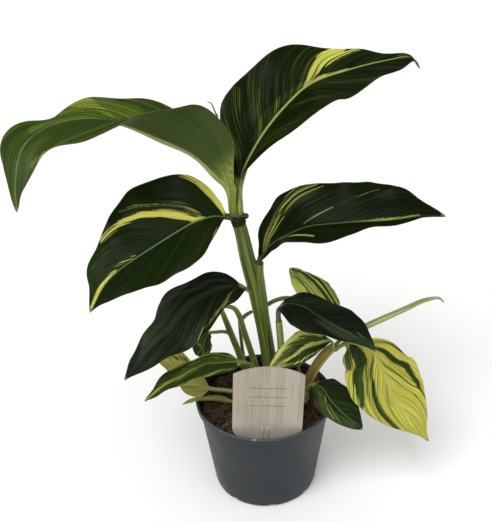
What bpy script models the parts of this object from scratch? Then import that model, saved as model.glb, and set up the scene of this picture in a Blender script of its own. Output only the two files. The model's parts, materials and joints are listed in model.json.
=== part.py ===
"""Potted variegated shell ginger in a round nursery pot, with a plain wood-grain plant tag.

The origin is the centre of the pot's flat underside, and +Z is up. The camera side of the
plant is -Y. Every length in this file is in millimetres, and meshes are scaled to metres.
"""
import math

import bpy
import numpy as np
from mathutils import Matrix, Vector, noise

MM = 0.001
GAP = 0.35                # clearance left between pieces that touch on the real plant
FACE_GAP = 0.3

# Pot
POT_HEIGHT = 90.0
RIM_RADIUS = 60.0
LIP_HEIGHT = 6.5
BODY_TOP_RADIUS = 56.8
BASE_RADIUS = 44.8
FOOT_ROUND = 3.0
WALL = 1.4
POT_SIDES = 48
DRAIN_SLOTS = 8
DRAIN_TURN = -83.0        # degrees, one slot just right of the front
DRAIN_WIDTH = 6.5
DRAIN_HEIGHT = 2.4

# Soil
SOIL_LEVEL = 80.0
SOIL_FLOOR = 3.0
SOIL_LUMP = 1.6
SOIL_RINGS = 6
SOIL_SIDES = 32
HOLE_BOTTOM = 66.0        # stems stand in plain holes that end here

# Plant tag
TAG_WIDTH = 58.0
TAG_SHOULDER = 144.0
TAG_TOP = 154.5
TAG_BOTTOM = 81.0
TAG_TILT = 2.5            # degrees, right side down
TAG_CORNER = 7.0
TAG_THICK = 0.9
TAG_X = 1.6
TAG_Y = -46.5
STAKE_WIDTH = 13.0
STAKE_TIP = 58.0

# Blades
BLADE_THICK = 0.8
RIB_DEPTH = 1.5
RIB_WIDTH = 2.2
TIP_WIDTH = 0.6
STATIONS = (0.0, 0.08, 0.2, 0.35, 0.5, 0.65, 0.8, 0.92, 1.0)
BIG, MEDIUM, SMALL = (20, 8), (13, 6), (9, 4)    # steps along the blade, steps across it

# Each stem is a row of places with a radius at each: x, y, z, radius.
MAIN_STEM = (
    (7.5, 9, 67, 6.0), (6.5, 8, 85, 6.2), (5, 6, 119, 6.2), (0.5, 4, 159, 6.2), (-5, 2.5, 195, 6.6),
    (-11.5, 1.5, 227, 6.1), (-15.6, 1, 251, 5.3), (-19, 1, 265, 5.6),
)
# The sheath of leaf D lies along the main stem and ends in a shoulder below its stalk.
SHEATH = (
    (2.5, 3, 152, 4.0), (0, 2.5, 176, 5.0), (-2.5, 2, 200, 5.2), (-3.2, 1.2, 214, 4.6), (-2.4, 0.5, 223, 4.0),
)
SIDE_STEMS = {
    "stem_left": ((-12, 26, 67, 3.0), (-13, 25.5, 82, 3.0), (-22, 20, 122, 2.9), (-27, 16, 142, 2.8),
                  (-32, 11, 163, 2.4), (-34.5, 9, 173, 1.9)),
    "stem_middle": ((-2.5, 19.5, 67, 3.0), (-3, 18, 82, 3.0), (-7, 13.5, 110, 2.9), (-10, 11, 125, 2.7),
                    (-16, 7, 152, 2.6), (-20, 4, 171, 2.3), (-24, 2, 179, 1.9), (-31, 0, 182.5, 1.6)),
    "stem_thin": ((-15, 36, 67, 1.7), (-15.5, 34, 82, 1.7), (-18, 26, 115, 1.6), (-19.5, 20, 143, 1.5),
                  (-20, 15.5, 158, 1.2)),
    "stem_right": ((17, 11, 67, 3.0), (17, 10, 82, 3.0), (16, 5, 101, 3.0), (15, -2, 142, 3.0),
                   (13.2, -8, 172, 2.8)),
    "shoot_pink": ((32, 8, 67, 4.4), (34.5, 6, 82, 4.4), (39, 2, 103, 4.3), (45, 0, 120, 4.3),
                   (53, 0, 133, 4.3), (60, 0, 140.5, 3.6)),
}
MIDDLE_FORK = ((-19, 5, 164, 1.8), (-14.5, 8, 167.5, 1.7), (-9, 12.5, 168.5, 1.4))

GREEN = (0.045, 0.085, 0.022)
LIT_GREEN = (0.09, 0.15, 0.03)
YELLOW = (0.50, 0.52, 0.10)

# Each leaf: stalk and rib places (x, y, z), half widths at STATIONS on the left and on the
# right, seen from above looking from base to tip, the angles at which the halves rise from
# the rib, the twist about the rib, and the waves of each margin as (count, height, phase).
LEAVES = {
    "leaf_top_left": dict(
        size=BIG, colour=LIT_GREEN, stalk_radius=2.5, joins=(),
        stalk=((-21.9, 1.6, 267.4), (-22.4, 1.8, 279.7)),
        rib=((-27, 2, 291), (-36, 0, 302), (-51, -4, 319), (-74, -9, 335), (-99, -14, 350), (-123, -19, 357),
             (-152, -25, 353), (-170, -28, 339), (-179, -29, 313), (-182, -28, 287)),
        left=(3, 24, 38, 40, 40, 34, 22, 8, TIP_WIDTH),
        right=(3, 18, 30, 34, 36, 36, 30, 13, TIP_WIDTH),
        lift_left=(60, 80, 84, 48, 7, -3, -13, 0, -5),
        lift_right=(40, 62, 68, 21, 5, -12, 8, 0, 0),
        twist=(0, 0, 0, 0, 0, 5, 15, 35, 50), waves_left=(3, 1.2, 0.2), waves_right=(3.5, 1.5, 0.1)),
    "leaf_top_right": dict(
        size=BIG, colour=GREEN, stalk_radius=2.5, joins=(),
        stalk=((-16.1, 2.4, 266.9), (-16.2, 3.2, 278.8)),
        rib=((-15, 6, 290), (-11, 11, 303), (4, 25, 325), (24, 42, 343), (41, 54, 353), (72, 68, 359),
             (104, 78, 363), (122, 80, 364), (130, 80, 355)),
        left=(3, 14, 38, 40, 40, 28, 14, 7, TIP_WIDTH),
        right=(3, 19, 33, 41, 44, 37, 23, 13, TIP_WIDTH),
        lift_left=(60, 58, 53, 46, 38, 28, 20, 10, 0),
        lift_right=(40, 25, 18, 8, 3, 0, -5, -10, -10),
        twist=(0, 0, 0), waves_left=(4, 1.6, 0.35), waves_right=(3, 1.2, 0.0)),
    "leaf_mid_left": dict(
        size=BIG, colour=GREEN, stalk_radius=2.4, joins=("main_stem", "leaf_top_left"),
        stalk=((-19.5, 0, 263.5), (-23.5, -2, 265.5)),
        rib=((-28, -4, 267.3), (-37, -7, 269.5), (-51.5, -12.5, 267.5), (-66, -19, 262), (-80, -26, 256),
             (-93, -34, 251), (-105, -42, 246), (-114, -49, 241), (-121, -55, 234), (-130, -60, 218)),
        left=(3, 19, 37, 43, 39, 35, 29, 10, TIP_WIDTH),
        right=(3, 21, 37, 45, 43, 32, 21, 7, TIP_WIDTH),
        lift_left=(20, 5, 0, -5, -8, -8, -5, -5, 0),
        lift_right=(50, 45, 42, 40, 38, 32, 20, 10, 0),
        sweep_right=(-0.3, -0.5, -0.3, 0, 0, 0, 0, 0, 0),
        twist=(0, 0, 0), waves_left=(3, 1.4, 0.1), waves_right=(4, 1.6, 0.3)),
    "leaf_mid_right": dict(
        size=BIG, colour=GREEN, stalk_radius=2.6, joins=("main_stem",),
        stalk=((-1.8, 0.2, 224.2), (0.4, -1, 229.5)),
        rib=((3.5, -3, 235), (8, -5, 243), (16, -9, 251), (28, -14, 260), (37, -17, 265), (49, -20, 268),
             (67, -23, 271), (86, -26, 273), (100, -28, 275), (121, -30, 279), (137, -31, 279)),
        left=(3, 20, 33, 35, 32, 34, 29, 13, TIP_WIDTH),
        right=(3, 7, 15, 28, 29, 18, 11, 5, TIP_WIDTH),
        lift_left=(55, 55, 50, 45, 40, 35, 25, 10, 0),
        lift_right=(35, 25, 12, 0, 2, 8, 10, 5, 0),
        twist=(0, 0, 0), waves_left=(4, 1.8, 0.1), waves_right=(3, 1.2, 0.4)),
    "leaf_low_left": dict(
        size=BIG, colour=GREEN, stalk_radius=2.0, joins=("main_stem",),
        stalk=((-6.7, 1, 193), (-12.2, -4, 201)),
        rib=((-17, -7, 205), (-22, -9, 207), (-34, -13, 207), (-42, -17, 205), (-53, -24, 202),
             (-67, -33, 191), (-73, -38, 185), (-86, -48, 178), (-94, -54, 172), (-109, -64, 157)),
        left=(2.5, 18, 24, 29, 28, 22, 17, 7, TIP_WIDTH),
        right=(2.5, 17, 22, 27, 26, 18, 12, 6, TIP_WIDTH),
        lift_left=(20, 0, -10, -15, -15, -15, -10, -5, 0),
        lift_right=(20, 15, 15, 10, 10, 10, 10, 5, 0),
        twist=(0, 0, 0), waves_left=(3, 1.0, 0.2), waves_right=(3, 1.2, 0.0)),
    "leaf_low_right": dict(
        size=MEDIUM, colour=GREEN, stalk_radius=2.2, joins=(),
        stalk=((13.1, -8.1, 172.4), (13, -11, 185)),
        rib=((15.5, -15, 192.5), (20, -19.5, 197), (33, -27, 198), (44, -33, 193), (54, -38, 189),
             (63, -43, 186), (83, -52, 178), (88, -54, 173)),
        left=(2.5, 8, 15, 19, 23, 22, 17, 8, TIP_WIDTH),
        right=(2.5, 11, 18, 20, 14, 10, 7, 4, TIP_WIDTH),
        lift_left=(20, 15, 10, 10, 10, 10, 5, 5, 0),
        lift_right=(10, 0, -10, -15, -15, -15, -10, -5, 0),
        twist=(0, 0, 0), waves_left=(2, 1.0, 0.2), waves_right=(2, 0.8, 0.0)),
    "leaf_back_yellow": dict(
        size=MEDIUM, colour=YELLOW, stalk_radius=1.8, joins=("main_stem",),
        stalk=((-2, 5, 175.5), (3.8, 9, 177), (11.4, 13, 179), (21.5, 16, 179), (38.4, 18, 172),
               (54, 21, 159), (61.5, 23, 153)),
        rib=((64, 27, 154), (57, 33, 163), (47, 39, 174), (36, 43, 184), (24, 46, 190)),
        left=(2, 12, 20, 26, 29, 30, 27, 17, 2),
        right=(2, 10, 14, 15, 13, 10, 7, 4, 1),
        lift_left=(10, 10, 10, 10, 10),
        lift_right=(10, 10, 10, 10, 10),
        twist=(0, 0, 0), waves_left=(2, 0.8, 0.0), waves_right=(2, 0.8, 0.3)),
    "leaf_right_yellow": dict(
        size=MEDIUM, colour=YELLOW, stalk_radius=2.0, joins=("shoot_pink",),
        stalk=((60.5, -2, 137.5), (64.5, -3, 142)),
        rib=((69, -4, 145.5), (77, -6.5, 146.5), (86, -9, 144), (95, -13, 138),
             (99, -17, 127), (104, -20, 115), (111, -24, 100), (125, -28, 83), (140, -32, 62)),
        left=(2.5, 5, 14, 25, 28, 26, 15, 6, TIP_WIDTH),
        right=(2.5, 16, 27, 31, 28, 20, 13, 5, TIP_WIDTH),
        lift_left=(15, 10, 10, 5, 0),
        lift_right=(-35, -20, 0, 5, 0),
        sweep_right=(-0.3, -0.5, -0.45, -0.25, 0, 0, 0, 0, 0),
        twist=(-20, -35, -45, -50, -50), waves_left=(3, 1.0, 0.1), waves_right=(3, 1.0, 0.3)),
    "leaf_centre_striped": dict(
        size=MEDIUM, colour=LIT_GREEN, stalk_radius=1.4, joins=("shoot_pink",),
        stalk=((57.5, -2.5, 137), (58.5, -6.5, 147)),
        rib=((56, -9.5, 153), (49, -13, 153), (34, -18, 151), (22, -23, 147), (12, -27, 144), (5, -30, 141)),
        left=(2, 4, 7, 12, 15, 16, 10, 5, TIP_WIDTH),
        right=(2, 12, 18, 21, 18, 14, 11, 6, TIP_WIDTH),
        lift_left=(0, 0, 0, 0, 0),
        lift_right=(10, 10, 10, 10, 10),
        twist=(0, 0, 0), waves_left=(2, 0.6, 0.1), waves_right=(2, 0.6, 0.0)),
    "leaf_front_striped": dict(
        size=MEDIUM, colour=LIT_GREEN, stalk_radius=2.2, joins=("stem_middle",),
        stalk=((-6.2, 13, 103), (-8, 6, 114), (-12.8, -3, 125.5)),
        rib=((-20, -10, 133), (-33, -16, 137), (-48, -23, 141), (-57, -27, 139), (-70, -32, 135),
             (-83, -37, 131), (-98, -43, 119)),
        left=(3, 10, 15, 17, 14, 11, 7, 4, TIP_WIDTH),
        right=(3, 11, 13, 11, 10, 10, 6, 3, TIP_WIDTH),
        lift_left=(0, 0, 0, 0, 0),
        lift_right=(10, 10, 10, 10, 10),
        twist=(0, 0, 0), waves_left=(2, 0.6, 0.1), waves_right=(2, 0.6, 0.0)),
    "leaf_left_yellow": dict(
        size=MEDIUM, colour=YELLOW, stalk_radius=2.0, joins=(),
        stalk=((-4.5, -3, 70), (-7, -2, 79), (-15, 1, 89), (-31.5, 2, 93)),
        rib=((-48, 1, 97), (-64, 1, 110), (-76, 0, 124), (-94, -3, 141)),
        left=(2.5, 14, 22, 26, 26, 22, 15, 8, TIP_WIDTH),
        right=(2.5, 8, 14, 18, 19, 16, 12, 6, TIP_WIDTH),
        lift_left=(0, 0, 0, 0, 0),
        lift_right=(10, 10, 10, 10, 10),
        twist=(0, 0, 0), waves_left=(2, 0.8, 0.0), waves_right=(2, 0.8, 0.2)),
    "leaf_left_curled": dict(
        size=SMALL, colour=GREEN, stalk_radius=1.6, joins=("stem_left",),
        stalk=((-27.5, 15.5, 143), (-32, 12, 148.5), (-39, 7, 152)),
        rib=((-45, 3.5, 153.5), (-48.5, 0, 150), (-51.5, -2, 141.5), (-57, -3, 135)),
        left=(1.8, 4, 6, 8, 8, 7, 5, 3, TIP_WIDTH),
        right=(1.8, 4, 7, 10, 11, 10, 8, 4, TIP_WIDTH),
        lift_left=(0, 20, 20, 20, 0),
        lift_right=(20, 20, 20, 20, 0),
        twist=(0, 40, 60, 60, 60), waves_left=(1, 0.4, 0.0), waves_right=(1, 0.4, 0.0)),
    "leaf_low_small": dict(
        size=SMALL, colour=GREEN, stalk_radius=1.8, joins=(),
        stalk=((26.5, -6, 70), (28, -6.5, 80), (33, -8.5, 97), (38, -12, 108)),
        rib=((43, -16, 113), (49, -22, 113), (57, -27, 102), (68, -31, 91), (83, -34, 78)),
        left=(2.2, 11, 16, 18, 18, 16, 11, 6, TIP_WIDTH),
        right=(2.2, 12, 16, 15, 12, 10, 7, 4, TIP_WIDTH),
        lift_left=(0, 5, 5, 5, 0),
        lift_right=(0, 5, 5, 5, 0),
        twist=(0, -20, -35, -35, -30), waves_left=(1.5, 0.5, 0.0), waves_right=(1.5, 0.5, 0.3)),
    "leaf_spear": dict(
        size=SMALL, colour=LIT_GREEN, stalk_radius=1.7, joins=("shoot_pink",),
        stalk=((59.5, 2.2, 137), (66, 5, 143.3)),
        rib=((75, 6, 149), (91, 9, 155), (120, 14, 166.5), (137, 17, 173), (154, 20, 172.5)),
        left=(2, 3, 3.4, 3.2, 3, 2.8, 2.2, 1.2, TIP_WIDTH),
        right=(2, 3, 3.4, 3.2, 3, 2.8, 2.2, 1.2, TIP_WIDTH),
        lift_left=(55, 60, 60, 55, 40),
        lift_right=(55, 60, 60, 55, 40),
        twist=(0, 0, 0), waves_left=(0, 0, 0), waves_right=(0, 0, 0)),
    "leaf_scale_left": dict(
        size=SMALL, colour=LIT_GREEN, stalk_radius=1.2, joins=(),
        stalk=((-9, -12, 70), (-10.5, -12, 80), (-19, -11, 88)),
        rib=((-30, -9.5, 91), (-48, -8, 93.5), (-60, -8, 93), (-71, -9, 88)),
        left=(1.5, 2.2, 2.6, 2.8, 2.8, 2.6, 2, 1.2, TIP_WIDTH),
        right=(1.5, 2.2, 2.4, 2.4, 2.4, 2.2, 1.8, 1, TIP_WIDTH),
        lift_left=(0, 0, 0, 0, 0),
        lift_right=(10, 10, 10, 10, 10),
        twist=(0, 0, 0), waves_left=(0, 0, 0), waves_right=(0, 0, 0)),
}


def clear_scene():
    """Remove whatever the file holds."""
    for item in list(bpy.data.objects):
        bpy.data.objects.remove(item)


def make_material(name, colour, roughness, metallic=0.0):
    """A plain Principled material."""
    material = bpy.data.materials.new(name)
    material.use_nodes = True
    shader = material.node_tree.nodes["Principled BSDF"]
    shader.inputs["Base Color"].default_value = (*colour, 1.0)
    shader.inputs["Roughness"].default_value = roughness
    shader.inputs["Metallic"].default_value = metallic
    return material


def make_object(name, points, faces, material=None, sharp=50):
    """A mesh object from points in millimetres, shaded smooth with sharp edges kept."""
    mesh = bpy.data.meshes.new(name)
    mesh.from_pydata([tuple(float(v) * MM for v in p) for p in points], [], faces)
    mesh.validate()
    mesh.shade_smooth()
    mesh.set_sharp_from_angle(angle=math.radians(sharp))
    if material:
        mesh.materials.append(material)
    item = bpy.data.objects.new(name, mesh)
    bpy.context.collection.objects.link(item)
    return item


def hide_cutter(item):
    """Mark an object as a guide that only cuts others."""
    item.hide_render = True
    item.display_type = "WIRE"
    return item


def add_boolean(item, other, operation="DIFFERENCE"):
    """Cut or join an object with another one."""
    modifier = item.modifiers.new(operation.lower(), "BOOLEAN")
    modifier.operation = operation
    modifier.solver = "EXACT"
    modifier.object = other


def unit(vector):
    return vector / max(np.linalg.norm(vector), 1e-9)


def hermite(a, b, slope_a, slope_b, t):
    """Cubic between two values with the slopes given."""
    return ((2 * t**3 - 3 * t**2 + 1) * a + (t**3 - 2 * t**2 + t) * slope_a
            + (-2 * t**3 + 3 * t**2) * b + (t**3 - t**2) * slope_b)


def dense_curve(points, steps=30):
    """Smooth curve through the points, with the run of length along it."""
    places = np.array(points, float)
    knots = np.concatenate([[0], np.cumsum(np.linalg.norm(np.diff(places[:, :3], axis=0), axis=1) ** 0.5)])
    slopes = np.gradient(places, knots, axis=0)
    dense = []
    for i in range(len(places) - 1):
        span = knots[i + 1] - knots[i]
        for k in range(steps):
            dense.append(hermite(places[i], places[i + 1], span * slopes[i], span * slopes[i + 1], k / steps))
    dense.append(places[-1])
    dense = np.array(dense)
    run = np.concatenate([[0], np.cumsum(np.linalg.norm(np.diff(dense[:, :3], axis=0), axis=1))])
    return dense, run


def sample_curve(dense, run, wanted):
    """Places on a dense curve at the wanted lengths."""
    return np.stack([np.interp(wanted, run, dense[:, k]) for k in range(dense.shape[1])], 1)


def value_along(values, s):
    """Value at share s of a list spread over STATIONS, or evenly if it has another length."""
    listed = np.array(values, float)
    places = np.array(STATIONS) if len(listed) == len(STATIONS) else np.linspace(0, 1, len(listed))
    slopes = np.gradient(listed, places)
    i = int(np.clip(np.searchsorted(places, s) - 1, 0, len(listed) - 2))
    span = places[i + 1] - places[i]
    return hermite(listed[i], listed[i + 1], span * slopes[i], span * slopes[i + 1], (s - places[i]) / span)


def tube(name, rows, sides, material=None, steps=None, extra=0.0):
    """Closed round stem along rows of x, y, z, radius."""
    dense, run = dense_curve(rows)
    steps = steps or 2 * len(rows)
    path = sample_curve(dense, run, np.linspace(0, run[-1], steps + 1))
    points, faces = [], []
    across = np.array((1.0, 0.0, 0.0))
    for i, (*place, radius) in enumerate(path):
        tangent = unit(path[min(i + 1, steps), :3] - path[max(i - 1, 0), :3])
        across = unit(across - tangent * across.dot(tangent))
        other = np.cross(tangent, across)
        for k in range(sides):
            angle = 2 * math.pi * k / sides
            offset = across * math.cos(angle) + other * math.sin(angle)
            points.append(np.array(place) + offset * (radius + extra))
    for i in range(steps):
        for k in range(sides):
            a, b = i * sides + k, i * sides + (k + 1) % sides
            faces.append((a, b, b + sides, a + sides))
    faces.append(tuple(reversed(range(sides))))
    faces.append(tuple(steps * sides + k for k in range(sides)))
    return make_object(name, points, faces, material)


def leaf_frames(path, heading, stalk_steps):
    """Right-hand and upward vectors: level along the blade, carried back along the stalk."""
    level = unit(np.cross(heading * (1, 1, 0), (0, 0, 1)))
    last = len(path) - 1
    tangents = [unit(path[min(i + 1, last)] - path[max(i - 1, 0)]) for i in range(last + 1)]
    rights = [unit(level - tangent * level.dot(tangent)) for tangent in tangents]
    for i in range(stalk_steps - 1, -1, -1):
        rights[i] = unit(rights[i + 1] - tangents[i] * rights[i + 1].dot(tangents[i]))
    return rights, [np.cross(right, tangent) for right, tangent in zip(rights, tangents)]


def turn(right, up, angle):
    """Right and up vectors turned about the rib."""
    c, s = math.cos(angle), math.sin(angle)
    return c * right + s * up, c * up - s * right


def margin_wave(leaf, side, s, share):
    """Height of the margin's wave at share s along the blade."""
    count, height, phase = leaf["waves_" + side]
    fade = min(1.0, 6 * s, 8 * (1 - s))
    return height * fade * share * share * math.sin(2 * math.pi * (count * s + phase))


def blade_offset(leaf, right, up, s, t):
    """Offset of the upper face from the rib, t from -1 at the left margin to 1 at the right."""
    side = "right" if t > 0 else "left"
    sign = 1 if t > 0 else -1
    share = abs(t)
    right, up = turn(right, up, math.radians(value_along(leaf["twist"], s)))
    lift = math.radians(value_along(leaf["lift_" + side], s))
    outward = sign * math.cos(lift) * right + math.sin(lift) * up
    normal = -sign * math.sin(lift) * right + math.cos(lift) * up
    width = max(value_along(leaf[side], s), TIP_WIDTH)
    bulge = 0.1 * width * share * (1 - share)
    along = np.cross(up, right) * value_along(leaf.get("sweep_" + side, (0, 0)), s)
    return (outward + along) * width * share + normal * (bulge + margin_wave(leaf, side, s, share)), normal


def stalk_offset(radius, right, up, t):
    """Upper and lower offsets of a round stalk with a shallow groove on top."""
    half = math.sqrt(max(1 - t * t, 0.0))
    upper = right * radius * t + up * radius * (0.45 * half + 0.25 * t * t)
    lower = right * radius * t * 0.98 - up * radius * max(half, 0.16)
    return upper, lower


def leaf_rings(leaf):
    """Upper and lower rows of points from the stalk's foot to the blade's tip."""
    along, across = leaf["size"]
    dense, run = dense_curve(leaf["stalk"] + leaf["rib"])
    base = run[30 * len(leaf["stalk"])]
    stalk_steps = max(2, int(base / 8))
    stalk_lengths = np.linspace(0, base, stalk_steps + 1)[:-1]
    wanted = np.concatenate([stalk_lengths, np.linspace(base, run[-1], along + 1)])
    path = sample_curve(dense, run, wanted)
    rights, ups = leaf_frames(path, np.array(leaf["rib"][-1], float) - leaf["rib"][0], stalk_steps)
    shares = [math.copysign(abs(k) ** 1.15, k) for k in np.linspace(-1, 1, across + 1)]
    uppers, lowers = [], []
    for i, place in enumerate(path):
        s = (wanted[i] - base) / (run[-1] - base)
        blend = min(1.0, max(0.0, 1 + s * 12)) if s < 0 else 1.0
        blend = 0.0 if i < stalk_steps - 1 else blend
        upper_row, lower_row = [], []
        for t in shares:
            stalk_up, stalk_low = stalk_offset(leaf["stalk_radius"], rights[i], ups[i], t)
            flat, normal = blade_offset(leaf, rights[i], ups[i], max(s, 0.0), t)
            width = np.linalg.norm(flat)
            rib_fade = max(0.0, 1 - max(s, 0.0)) ** 0.7
            depth = BLADE_THICK + RIB_DEPTH * rib_fade * math.exp(-((width / RIB_WIDTH) ** 2))
            upper_row.append(place + stalk_up * (1 - blend) + flat * blend)
            lower_row.append(place + stalk_low * (1 - blend) + (flat - normal * depth) * blend)
        uppers.append(upper_row)
        lowers.append(lower_row)
    return uppers, lowers


def make_leaf(name, leaf):
    """One leaf with its stalk as a closed blade, split into triangles alike on both faces."""
    uppers, lowers = leaf_rings(leaf)
    rows, columns = len(uppers), len(uppers[0])
    points = [p for row in uppers for p in row] + [p for row in lowers for p in row]
    lower_start = rows * columns
    faces = []
    for i in range(rows - 1):
        for j in range(columns - 1):
            a, b = i * columns + j, i * columns + j + 1
            c, d = b + columns, a + columns
            faces += [(a, b, c), (a, c, d)]
            a, b, c, d = (k + lower_start for k in (a, b, c, d))
            faces += [(a, c, b), (a, d, c)]
        for j, flip in ((0, False), (columns - 1, True)):
            a, d = i * columns + j, (i + 1) * columns + j
            quad = (a, d, d + lower_start, a + lower_start)
            faces.append(quad[::-1] if flip else quad)
    for i, flip in ((0, False), (rows - 1, True)):
        for j in range(columns - 1):
            a, b = i * columns + j, i * columns + j + 1
            quad = (a, a + lower_start, b + lower_start, b)
            faces.append(quad[::-1] if flip else quad)
    material = make_material(name, leaf["colour"], 0.4)
    return make_object(name, points, faces, material, sharp=60)


def lathe(name, profile, sides, material):
    """Turned closed shape from a closed profile of (radius, height), radius 0 on the axis."""
    points, faces, rows = [], [], []
    for radius, height in profile:
        if radius == 0:
            rows.append([len(points)] * sides)
            points.append((0, 0, height))
            continue
        rows.append(list(range(len(points), len(points) + sides)))
        for k in range(sides):
            angle = 2 * math.pi * k / sides
            points.append((radius * math.cos(angle), radius * math.sin(angle), height))
    for low, high in zip(rows, rows[1:]):
        for k in range(sides):
            n = (k + 1) % sides
            corners = []
            for corner in (low[k], low[n], high[n], high[k]):
                if corner not in corners:
                    corners.append(corner)
            faces.append(tuple(corners))
    return make_object(name, points, faces, material, sharp=35)


def make_pot():
    """Nursery pot: tapered wall, turned-out lip, rounded foot and drain slots at the foot."""
    shoulder = POT_HEIGHT - LIP_HEIGHT
    slope = (BODY_TOP_RADIUS - BASE_RADIUS) / shoulder
    foot = [(BASE_RADIUS - FOOT_ROUND * (1 - math.sin(a)), FOOT_ROUND * (1 - math.cos(a)))
            for a in (0.0, 0.5, 1.0, math.pi / 2)]
    lip = [(BODY_TOP_RADIUS, shoulder), (RIM_RADIUS - 0.7, shoulder), (RIM_RADIUS, POT_HEIGHT - 0.8),
           (RIM_RADIUS - 0.6, POT_HEIGHT), (RIM_RADIUS - 2.2, POT_HEIGHT)]
    inner_base = BASE_RADIUS - WALL + slope * WALL
    inner = [(BODY_TOP_RADIUS - WALL, shoulder - 2), (inner_base, 2 * WALL), (0, WALL)]
    plastic = make_material("pot_plastic", (0.05, 0.058, 0.065), 0.55)
    pot = lathe("pot", [(0, 0)] + foot + lip + inner, POT_SIDES, plastic)
    for k in range(DRAIN_SLOTS):
        angle = math.radians(DRAIN_TURN) + 2 * math.pi * k / DRAIN_SLOTS
        add_boolean(pot, drain_cutter("drain_cutter_%d" % k, angle))
    return pot


BLOCK_FACES = ((3, 2, 1, 0), (4, 5, 6, 7), (0, 1, 5, 4), (1, 2, 6, 5), (2, 3, 7, 6), (3, 0, 4, 7))


def block_corners(x0, x1, y0, y1, z0, z1):
    """The eight corners of a block, lower four first."""
    return [(x, y, z) for z in (z0, z1) for x, y in ((x0, y0), (x1, y0), (x1, y1), (x0, y1))]


def drain_cutter(name, angle):
    """Small block that notches the foot of the pot."""
    half, depth = DRAIN_WIDTH / 2, 4.0
    turned = Matrix.Rotation(angle, 3, "Z")
    middle = BASE_RADIUS - 3.0
    corners = block_corners(middle - depth, middle + depth, -half, half, -1.0, DRAIN_HEIGHT)
    return hide_cutter(make_object(name, [turned @ Vector(corner) for corner in corners], BLOCK_FACES))


def soil_height(x, y):
    """Lumpy top of the soil."""
    coarse = noise.noise(Vector((x * 0.09, y * 0.09, 3.0)))
    fine = noise.noise(Vector((x * 0.23, y * 0.23, 7.0)))
    return SOIL_LEVEL + SOIL_LUMP * (coarse + 0.5 * fine)


def make_soil(stem_cutters):
    """Soil that fills the pot, with a lumpy top and a plain hole for each stem."""
    shoulder = POT_HEIGHT - LIP_HEIGHT
    slope = (BODY_TOP_RADIUS - BASE_RADIUS) / shoulder
    top_radius = BODY_TOP_RADIUS - WALL - (shoulder - SOIL_LEVEL) * slope - FACE_GAP - 0.5
    low_radius = BASE_RADIUS - WALL - FACE_GAP - 0.6
    points = [(0, 0, soil_height(0, 0))]
    faces = []
    for ring in range(1, SOIL_RINGS + 1):
        radius = top_radius * ring / SOIL_RINGS
        for k in range(SOIL_SIDES):
            angle = 2 * math.pi * (k + 0.5 * (ring % 2)) / SOIL_SIDES
            x, y = radius * math.cos(angle), radius * math.sin(angle)
            points.append((x, y, soil_height(x, y)))
    for k in range(SOIL_SIDES):
        faces.append((0, 1 + k, 1 + (k + 1) % SOIL_SIDES))
    for ring in range(1, SOIL_RINGS):
        for k in range(SOIL_SIDES):
            n = (k + 1) % SOIL_SIDES
            a, b = 1 + (ring - 1) * SOIL_SIDES + k, 1 + (ring - 1) * SOIL_SIDES + n
            c, d = b + SOIL_SIDES, a + SOIL_SIDES
            faces += [(a, d, b), (b, d, c)] if ring % 2 else [(a, d, c), (a, c, b)]
    rim_start = 1 + (SOIL_RINGS - 1) * SOIL_SIDES
    low_start = len(points)
    for k in range(SOIL_SIDES):
        angle = 2 * math.pi * (k + 0.5 * (SOIL_RINGS % 2)) / SOIL_SIDES
        points.append((low_radius * math.cos(angle), low_radius * math.sin(angle), SOIL_FLOOR))
    for k in range(SOIL_SIDES):
        n = (k + 1) % SOIL_SIDES
        faces.append((rim_start + n, rim_start + k, low_start + k, low_start + n))
    faces.append(tuple(reversed(range(low_start, low_start + SOIL_SIDES))))
    soil = make_object("soil", points, faces, make_material("soil", (0.035, 0.022, 0.014), 0.95))
    for cutter in stem_cutters:
        add_boolean(soil, cutter)
    return soil


def tag_outline():
    """Outline of the tag in x and z: arched top, rounded lower corners, pointed stake."""
    half = TAG_WIDTH / 2
    rise = TAG_TOP - TAG_SHOULDER
    arch = [(half * math.cos(a), TAG_SHOULDER + rise * math.sin(a)) for a in np.linspace(0.0, math.pi, 17)]
    corner = [(-half + TAG_CORNER * (1 - math.cos(a)), TAG_BOTTOM + TAG_CORNER * (1 - math.sin(a)))
              for a in np.linspace(0, math.pi / 2, 5)]
    stake = STAKE_WIDTH / 2
    left = corner + [(-stake, TAG_BOTTOM), (-stake, STAKE_TIP + 8), (0, STAKE_TIP)]
    right = [(-x, z) for x, z in reversed(left[:-1])]
    return arch + left + right


def make_tag():
    """Thin plastic tag that stands in the soil at the front, inside the rim."""
    outline = tag_outline()
    count = len(outline)
    tilt = Matrix.Rotation(math.radians(TAG_TILT), 3, "Y")
    foot = Vector((TAG_X, TAG_Y, TAG_BOTTOM))
    half = TAG_THICK / 2
    points = [foot + tilt @ Vector((x, y, z - TAG_BOTTOM)) for y in (-half, half) for x, z in outline]
    faces = [tuple(range(count)), tuple(reversed(range(count, 2 * count)))]
    faces += [(k, k + count, (k + 1) % count + count, (k + 1) % count) for k in range(count)]
    return make_object("tag", points, faces, make_material("tag_plastic", (0.5, 0.42, 0.36), 0.45))


def tag_hole():
    """Slot in the soil for the tag's stake."""
    half = STAKE_WIDTH / 2 + 1.5
    thick = TAG_THICK / 2 + GAP
    corners = block_corners(TAG_X - half, TAG_X + half, TAG_Y - thick, TAG_Y + thick,
                            STAKE_TIP - 2, SOIL_LEVEL + 12)
    return hide_cutter(make_object("tag_hole", corners, BLOCK_FACES))


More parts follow.
